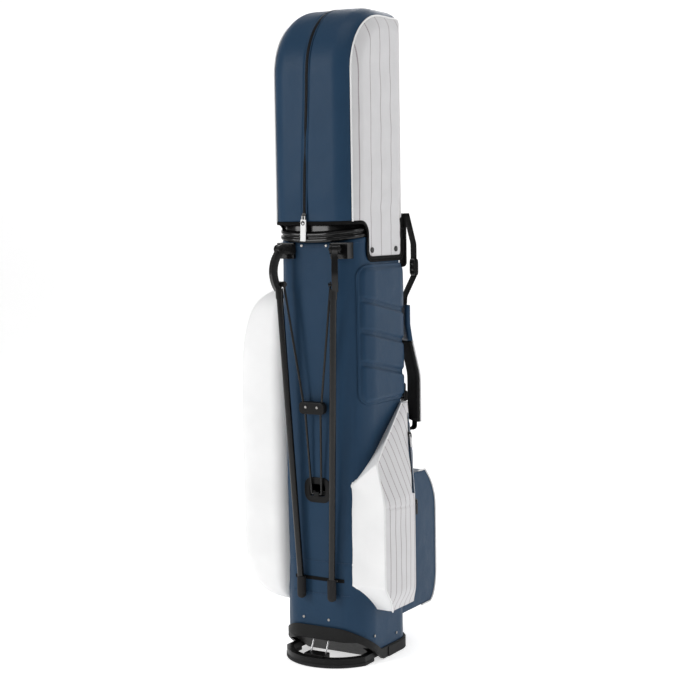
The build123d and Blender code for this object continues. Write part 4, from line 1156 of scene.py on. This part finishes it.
def build_pocket_zips():
    right_high = (105 + 40 * (505 - 484) / 175, 61, 484)
    zip_row("right_zip", ["pocket_zip_chains"], right_high, (145, 19, 330), (175, 0, 40))
    zip_row("left_zip", [], (-150, 62, 620), (-150, 62, 170), (0, 1, 0))
    zip_row("ball_zip", [], (92.2, 123, 300), (92.2, 123, 112), (1, 0, 0))


# ---------------------------------------------------------------- hip pad, strap and handle
def build_hip_pad():
    """Four puffed cushions between slanted sewn channels."""
    puff_height = sizes().pad_puff / MM
    around = outline_length(BODY)
    low, high = 513.0, 787.0
    channels = (598.0, 661.0, 722.0)

    def place(u, v):
        z = low + (high - low) * v
        half = 84.0
        over = abs(z - (low + high) / 2) - ((high - low) / 2 - 26)
        if over > 0:
            half -= 26 - math.sqrt(max(0.0, 26 ** 2 - over ** 2))
        reach = (u * 2 - 1) * half
        share = 0.75 + (reach - 6 + 2) / around
        edge = (half - abs(reach))
        border = min(edge, z - low, high - z)
        height = 2.6 + 2.0 * smooth(border, 0, 3)
        cushion = 1.0
        seam = valley(border, 6.0, 1.2)
        for channel in channels:
            gap = abs(z - channel + 0.2 * (reach + 86))
            cushion = min(cushion, smooth(gap, 3.0, 10) ** 0.6)
            if border > 6:
                seam = max(seam, valley(gap, 3.2, 1.1))
        cushion *= smooth(border, 6.0, 15) ** 0.6
        height += puff_height * cushion - seam * 1.4
        height += 0.6 * ripple(reach, 0, z, 34, 2.0) * cushion
        spot, out = rounded(share, BODY, 0.4)
        return spot.x + out.x * height, spot.y + out.y * height, z

    bm = moulded_grid(96, 150, place, (170, 275))
    grown = bmesh.ops.extrude_edge_only(bm, edges=[e for e in bm.edges if e.is_boundary])
    rim = [g for g in grown["geom"] if isinstance(g, bmesh.types.BMVert)]
    for vert in rim:
        spot = vert.co / MM
        out = Vector((spot.x - 42 if abs(spot.y + 2) > 47 else 1, 0, 0))
        if abs(spot.y + 2) > 47:
            out.y = spot.y + 2 - math.copysign(47, spot.y + 2)
        out.normalize()
        vert.co -= out * 2.4 * MM
    pad = finished(bm, "hip_pad_cushions", "bag", "navy", ["hip_pad"], outward=False)
    return pad


TURN = math.radians(50)
STRAP_OUT = Vector((math.cos(TURN), math.sin(TURN), 0))
STRAP_SIDE = Vector((math.sin(TURN), -math.cos(TURN), 0))


def strap_place(out, z, side=0.0):
    return Vector((72, 85, 0)) + STRAP_OUT * out + STRAP_SIDE * side + Vector((0, 0, z))


def strap_strip(points, radius, width, thick, exponent=0.35, sides=16, lift=0.0, step=5.0):
    flat = bent_path([(out, 0, z) for out, z in points], radius, step)
    path = [strap_place(p.x, p.z) for p in flat]
    outs = []
    for index in range(len(flat)):
        before, after = flat[max(0, index - 1)], flat[min(len(flat) - 1, index + 1)]
        forward = (after - before).normalized()
        outs.append(STRAP_OUT * -forward.z + Vector((0, 0, 1)) * forward.x)
    return strip(path, outs, width, thick, sides, exponent=exponent, lift=lift)


def build_strap():
    bm = strap_strip(((27.8, 884), (43, 822), (43, 757)), 30, 30, 2.2)
    merge(bm, strap_strip(((43, 757), (22, 716), (20, 690)), 20, 30, 2.2))
    merge(bm, strap_strip(((41, 462), (41, 444), (17, 444), (17, 520)), 12, 25, 2.0))
    finished(bm, "strap_tape", "strap", "webbing", ["strap_webbing"])

    bm = strap_strip(((20, 699), (20, 660), (25, 627)), 60, 52, 12.0, exponent=0.45, sides=28)
    finished(bm, "strap_end_leather", "strap", "navy", ["strap_end_cover"])

    route = ((25, 626), (41, 556), (41, 461))
    bm = strap_strip(route, 110, 56, 5.0, exponent=0.5, sides=28, lift=3.6)
    outer = finished(bm, "strap_pad_leather", "strap", "white", ["strap_pad"])
    bm = strap_strip(route, 110, 55, 8.5, exponent=0.45, sides=28, lift=-1.8)
    inner = finished(bm, "strap_pad_mesh", "strap", "mesh")

    bm = bmesh.new()
    places = ((43.5, 775, 36, 33, 7.0), (17.5, 514, 22, 32, 7.0), (13, 532, 17, 28, 10))
    for out, z, tall, wide, thick in places:
        merge(bm, buckle(out, z, tall, wide, thick))
    finished(bm, "strap_ladder_locks", "strap", "plastic", ["strap_buckles"])


def buckle(out, z, tall, wide, thick):
    """Ladder lock: a rounded frame with two bars."""
    bm = bmesh.new()
    outline = []
    for i in range(32):
        angle = 2 * math.pi * i / 32
        side = power(math.cos(angle), 0.4) * (wide / 2 - 2)
        high = power(math.sin(angle), 0.4) * (tall / 2 - 2)
        outline.append(strap_place(out, z + high, side))
    merge(bm, strip(outline, [STRAP_OUT] * 32, 4.0, thick, 10, closed=True, exponent=0.6))
    for high in (-tall * 0.16, tall * 0.16):
        ends = [strap_place(out, z + high, side) for side in (-wide / 2 + 2, 0, wide / 2 - 2)]
        merge(bm, strip(ends, [STRAP_OUT] * 3, 4.0, thick * 0.7, 10, exponent=0.6))
    return bm


def build_handle():
    """Grab handle of folded webbing behind the cuff."""
    bm = strap_strip(((6, 779), (20, 779), (20, 884)), 8, 29, 7.0, exponent=0.4)
    merge(bm, strap_strip(((6, 853), (17, 853)), 3, 28, 7.0, exponent=0.4))
    finished(bm, "grab_handle_webbing", "bag", "webbing", ["rear_handle"])


# ---------------------------------------------------------------- boot, pedal, legs and hardware
CAD_FINISHES = {
    "boot": ("base_boot",),
    "plastic": (
        "slot_plate", "wire_block", "wire_yoke", "pedal_frame", "divider_grid", "wire_clip",
        "left_pocket_puller", "ball_pocket_puller",
    ),
    "gloss": (
        "leg_bracket_right", "leg_bracket_left", "leg_head_right", "leg_head_left",
        "hinge_pins", "pedal_pins", "hood_snaps", "hood_slider",
        "right_pocket_slider", "left_pocket_slider", "ball_pocket_slider",
    ),
    "divider": ("divider_panels",),
    "stay": ("stays",),
    "rubber": ("heel_bumper", "pedal_sole", "leg_foot_right", "leg_foot_left"),
    "tube": ("leg_tube_right", "leg_tube_left"),
    "wire": ("rod_right", "rod_left", "lower_wires"),
    "steel": ("pedal_links", "push_wires", "right_pocket_puller"),
    "rivet": ("body_rivets", "clip_rivets"),
    "binding": ("leg_keeper",),
    "tag": ("hood_tag",),
}


def finish_hardware():
    for finish, names in CAD_FINISHES.items():
        give(names, finish)


# ---------------------------------------------------------------- stage
def lamp(name, place, target, size, power_watts):
    """Soft rectangular light that looks at a target."""
    light = bpy.data.lights.new(name, "AREA")
    light.shape = "RECTANGLE"
    light.size, light.size_y = size
    light.energy = power_watts
    item = bpy.data.objects.new(name, light)
    item.location = place
    item.rotation_euler = (Vector(target) - Vector(place)).to_track_quat("-Z", "Y").to_euler()
    bpy.context.scene.collection.objects.link(item)


def backdrop(name, bright, width, points):
    """Seamless paper: a strip whose side view is given in metres, behind and under the bag."""
    bm = bmesh.new()
    rows = [bm.verts.new((side * width, y, z)) for y, z in points for side in (-1, 1)]
    for i in range(len(points) - 1):
        bm.faces.new((rows[2 * i], rows[2 * i + 1], rows[2 * i + 3], rows[2 * i + 2]))
    bmesh.ops.recalc_face_normals(bm, faces=bm.faces)
    mesh = bpy.data.meshes.new(name)
    bm.to_mesh(mesh)
    bm.free()
    for face in mesh.polygons:
        face.use_smooth = True
    paper = bpy.data.objects.new(name, mesh)
    paint = Finish(name + "_paint", (0.9, 0.9, 0.9), 0.9, emission_strength=bright)
    paint.set("Emission Color", (1, 1, 1, 1))
    mesh.materials.append(paint.material)
    bpy.context.scene.collection.objects.link(paper)
    return paper


def build_stage():
    curve = [(-6.0, -0.001), (2.2, -0.001)]
    for i in range(1, 13):
        angle = math.radians(90 * i / 12)
        curve.append((2.2 + 1.6 * math.sin(angle), 1.6 - 1.6 * math.cos(angle)))
    curve.append((3.8, 6.0))
    backdrop("studio_paper", 0.55, 9.0, curve)

    world = bpy.data.worlds.new("studio")
    world.use_nodes = True
    world.node_tree.nodes["Background"].inputs["Color"].default_value = (1, 1, 1, 1)
    world.node_tree.nodes["Background"].inputs["Strength"].default_value = 0.22
    bpy.context.scene.world = world
    bpy.context.scene.view_settings.view_transform = "Standard"

    lamp("key_softbox", (-1.7, -2.5, 1.8), (0, 0, 0.75), (0.9, 2.0), 46)
    lamp("side_softbox", (2.9, 0.3, 1.5), (0, 0, 0.75), (0.8, 2.2), 22)
    lamp("rear_softbox", (-0.6, 2.4, 2.4), (0, 0, 0.8), (1.6, 1.2), 16)
    lamp("top_softbox", (0.2, -0.4, 3.0), (0, 0, 0.6), (1.6, 1.6), 14)

    turn, distance, height = math.radians(31.0), 2.957, 0.8827
    pitch, roll = math.radians(4.84), math.radians(-0.9)
    level = Vector((math.cos(turn), math.sin(turn), 0))
    flat = Vector((-math.sin(turn), math.cos(turn), 0)) * math.cos(pitch)
    forward = flat - Vector((0, 0, math.sin(pitch)))
    above = level.cross(forward)
    right = level * math.cos(roll) + above * math.sin(roll)
    up = above * math.cos(roll) - level * math.sin(roll)
    camera_data = bpy.data.cameras.new("camera")
    camera_data.lens = 1477.0 / 680 * 36
    camera_data.sensor_width = 36
    camera_data.shift_x = -3.0 / 680
    camera = bpy.data.objects.new("camera", camera_data)
    turned = Matrix((right, up, -forward)).transposed().to_4x4()
    eye = Vector((distance * math.sin(turn), -distance * math.cos(turn), height))
    camera.matrix_world = Matrix.Translation(eye) @ turned
    bpy.context.scene.collection.objects.link(camera)
    bpy.context.scene.camera = camera


# ---------------------------------------------------------------- operators
class BuildOperator(bpy.types.Operator):
    bl_options = {"REGISTER", "UNDO"}
    steps = ()

    def execute(self, context):
        for step in type(self).steps:
            step()
        return {"FINISHED"}


class STANDBAG_OT_stage(BuildOperator):
    """Floor, soft lights and camera"""
    bl_idname = "stand_bag.stage"
    bl_label = "Stage"
    steps = (build_stage,)


class STANDBAG_OT_finishes(BuildOperator):
    """Materials and the plastic, rubber and metal pieces that take them"""
    bl_idname = "stand_bag.finishes"
    bl_label = "Finishes and hardware"
    steps = (make_finishes, finish_hardware)


class STANDBAG_OT_hood(BuildOperator):
    """Rain hood with its piping, hem, zip and tag"""
    bl_idname = "stand_bag.hood"
    bl_label = "Rain hood"
    steps = (
        build_hood_band, lambda: build_hood_side(1), lambda: build_hood_side(-1),
        build_hood_edges, build_hood_zip, build_tag,
    )


class STANDBAG_OT_tube(BuildOperator):
    """Cuff, leather tube and seams"""
    bl_idname = "stand_bag.tube"
    bl_label = "Cuff and tube"
    steps = (build_cuff, build_tube, build_stitches)


class STANDBAG_OT_pockets(BuildOperator):
    """Pockets, piping and zips"""
    bl_idname = "stand_bag.pockets"
    bl_label = "Pockets"
    steps = (build_left_pocket, build_right_pocket, build_ball_pocket, build_pocket_zips)


class STANDBAG_OT_carry(BuildOperator):
    """Hip pad, shoulder strap and grab handle"""
    bl_idname = "stand_bag.carry"
    bl_label = "Hip pad and strap"
    steps = (build_hip_pad, build_strap, build_handle)


class STANDBAG_PT_panel(bpy.types.Panel):
    """Lists the bag's pieces"""
    bl_idname = "STANDBAG_PT_panel"
    bl_label = "Golf Stand Bag"
    bl_space_type = "VIEW_3D"
    bl_region_type = "UI"
    bl_category = "Stand Bag"

    def draw(self, context):
        for operator in BUILDERS:
            self.layout.operator(operator.bl_idname)
        for group in (sizes(), colours()):
            for key in group.bl_rna.properties.keys():
                if key not in ("rna_type", "name"):
                    self.layout.prop(group, key)


BUILDERS = (
    STANDBAG_OT_stage, STANDBAG_OT_finishes, STANDBAG_OT_hood,
    STANDBAG_OT_tube, STANDBAG_OT_pockets, STANDBAG_OT_carry,
)
CLASSES = (BagSizes, BagColours, *BUILDERS, STANDBAG_PT_panel)


def register():
    for entry in CLASSES:
        bpy.utils.register_class(entry)
    bpy.types.Scene.stand_bag_sizes = bpy.props.PointerProperty(type=BagSizes)
    bpy.types.Scene.stand_bag_colours = bpy.props.PointerProperty(type=BagColours)


def unregister():
    del bpy.types.Scene.stand_bag_sizes
    del bpy.types.Scene.stand_bag_colours
    for entry in reversed(CLASSES):
        bpy.utils.unregister_class(entry)


def main():
    register()
    for operator in ("stage", "finishes", "hood", "tube", "pockets", "carry"):
        getattr(bpy.ops.stand_bag, operator)()


if __name__ == "__main__":
    main()
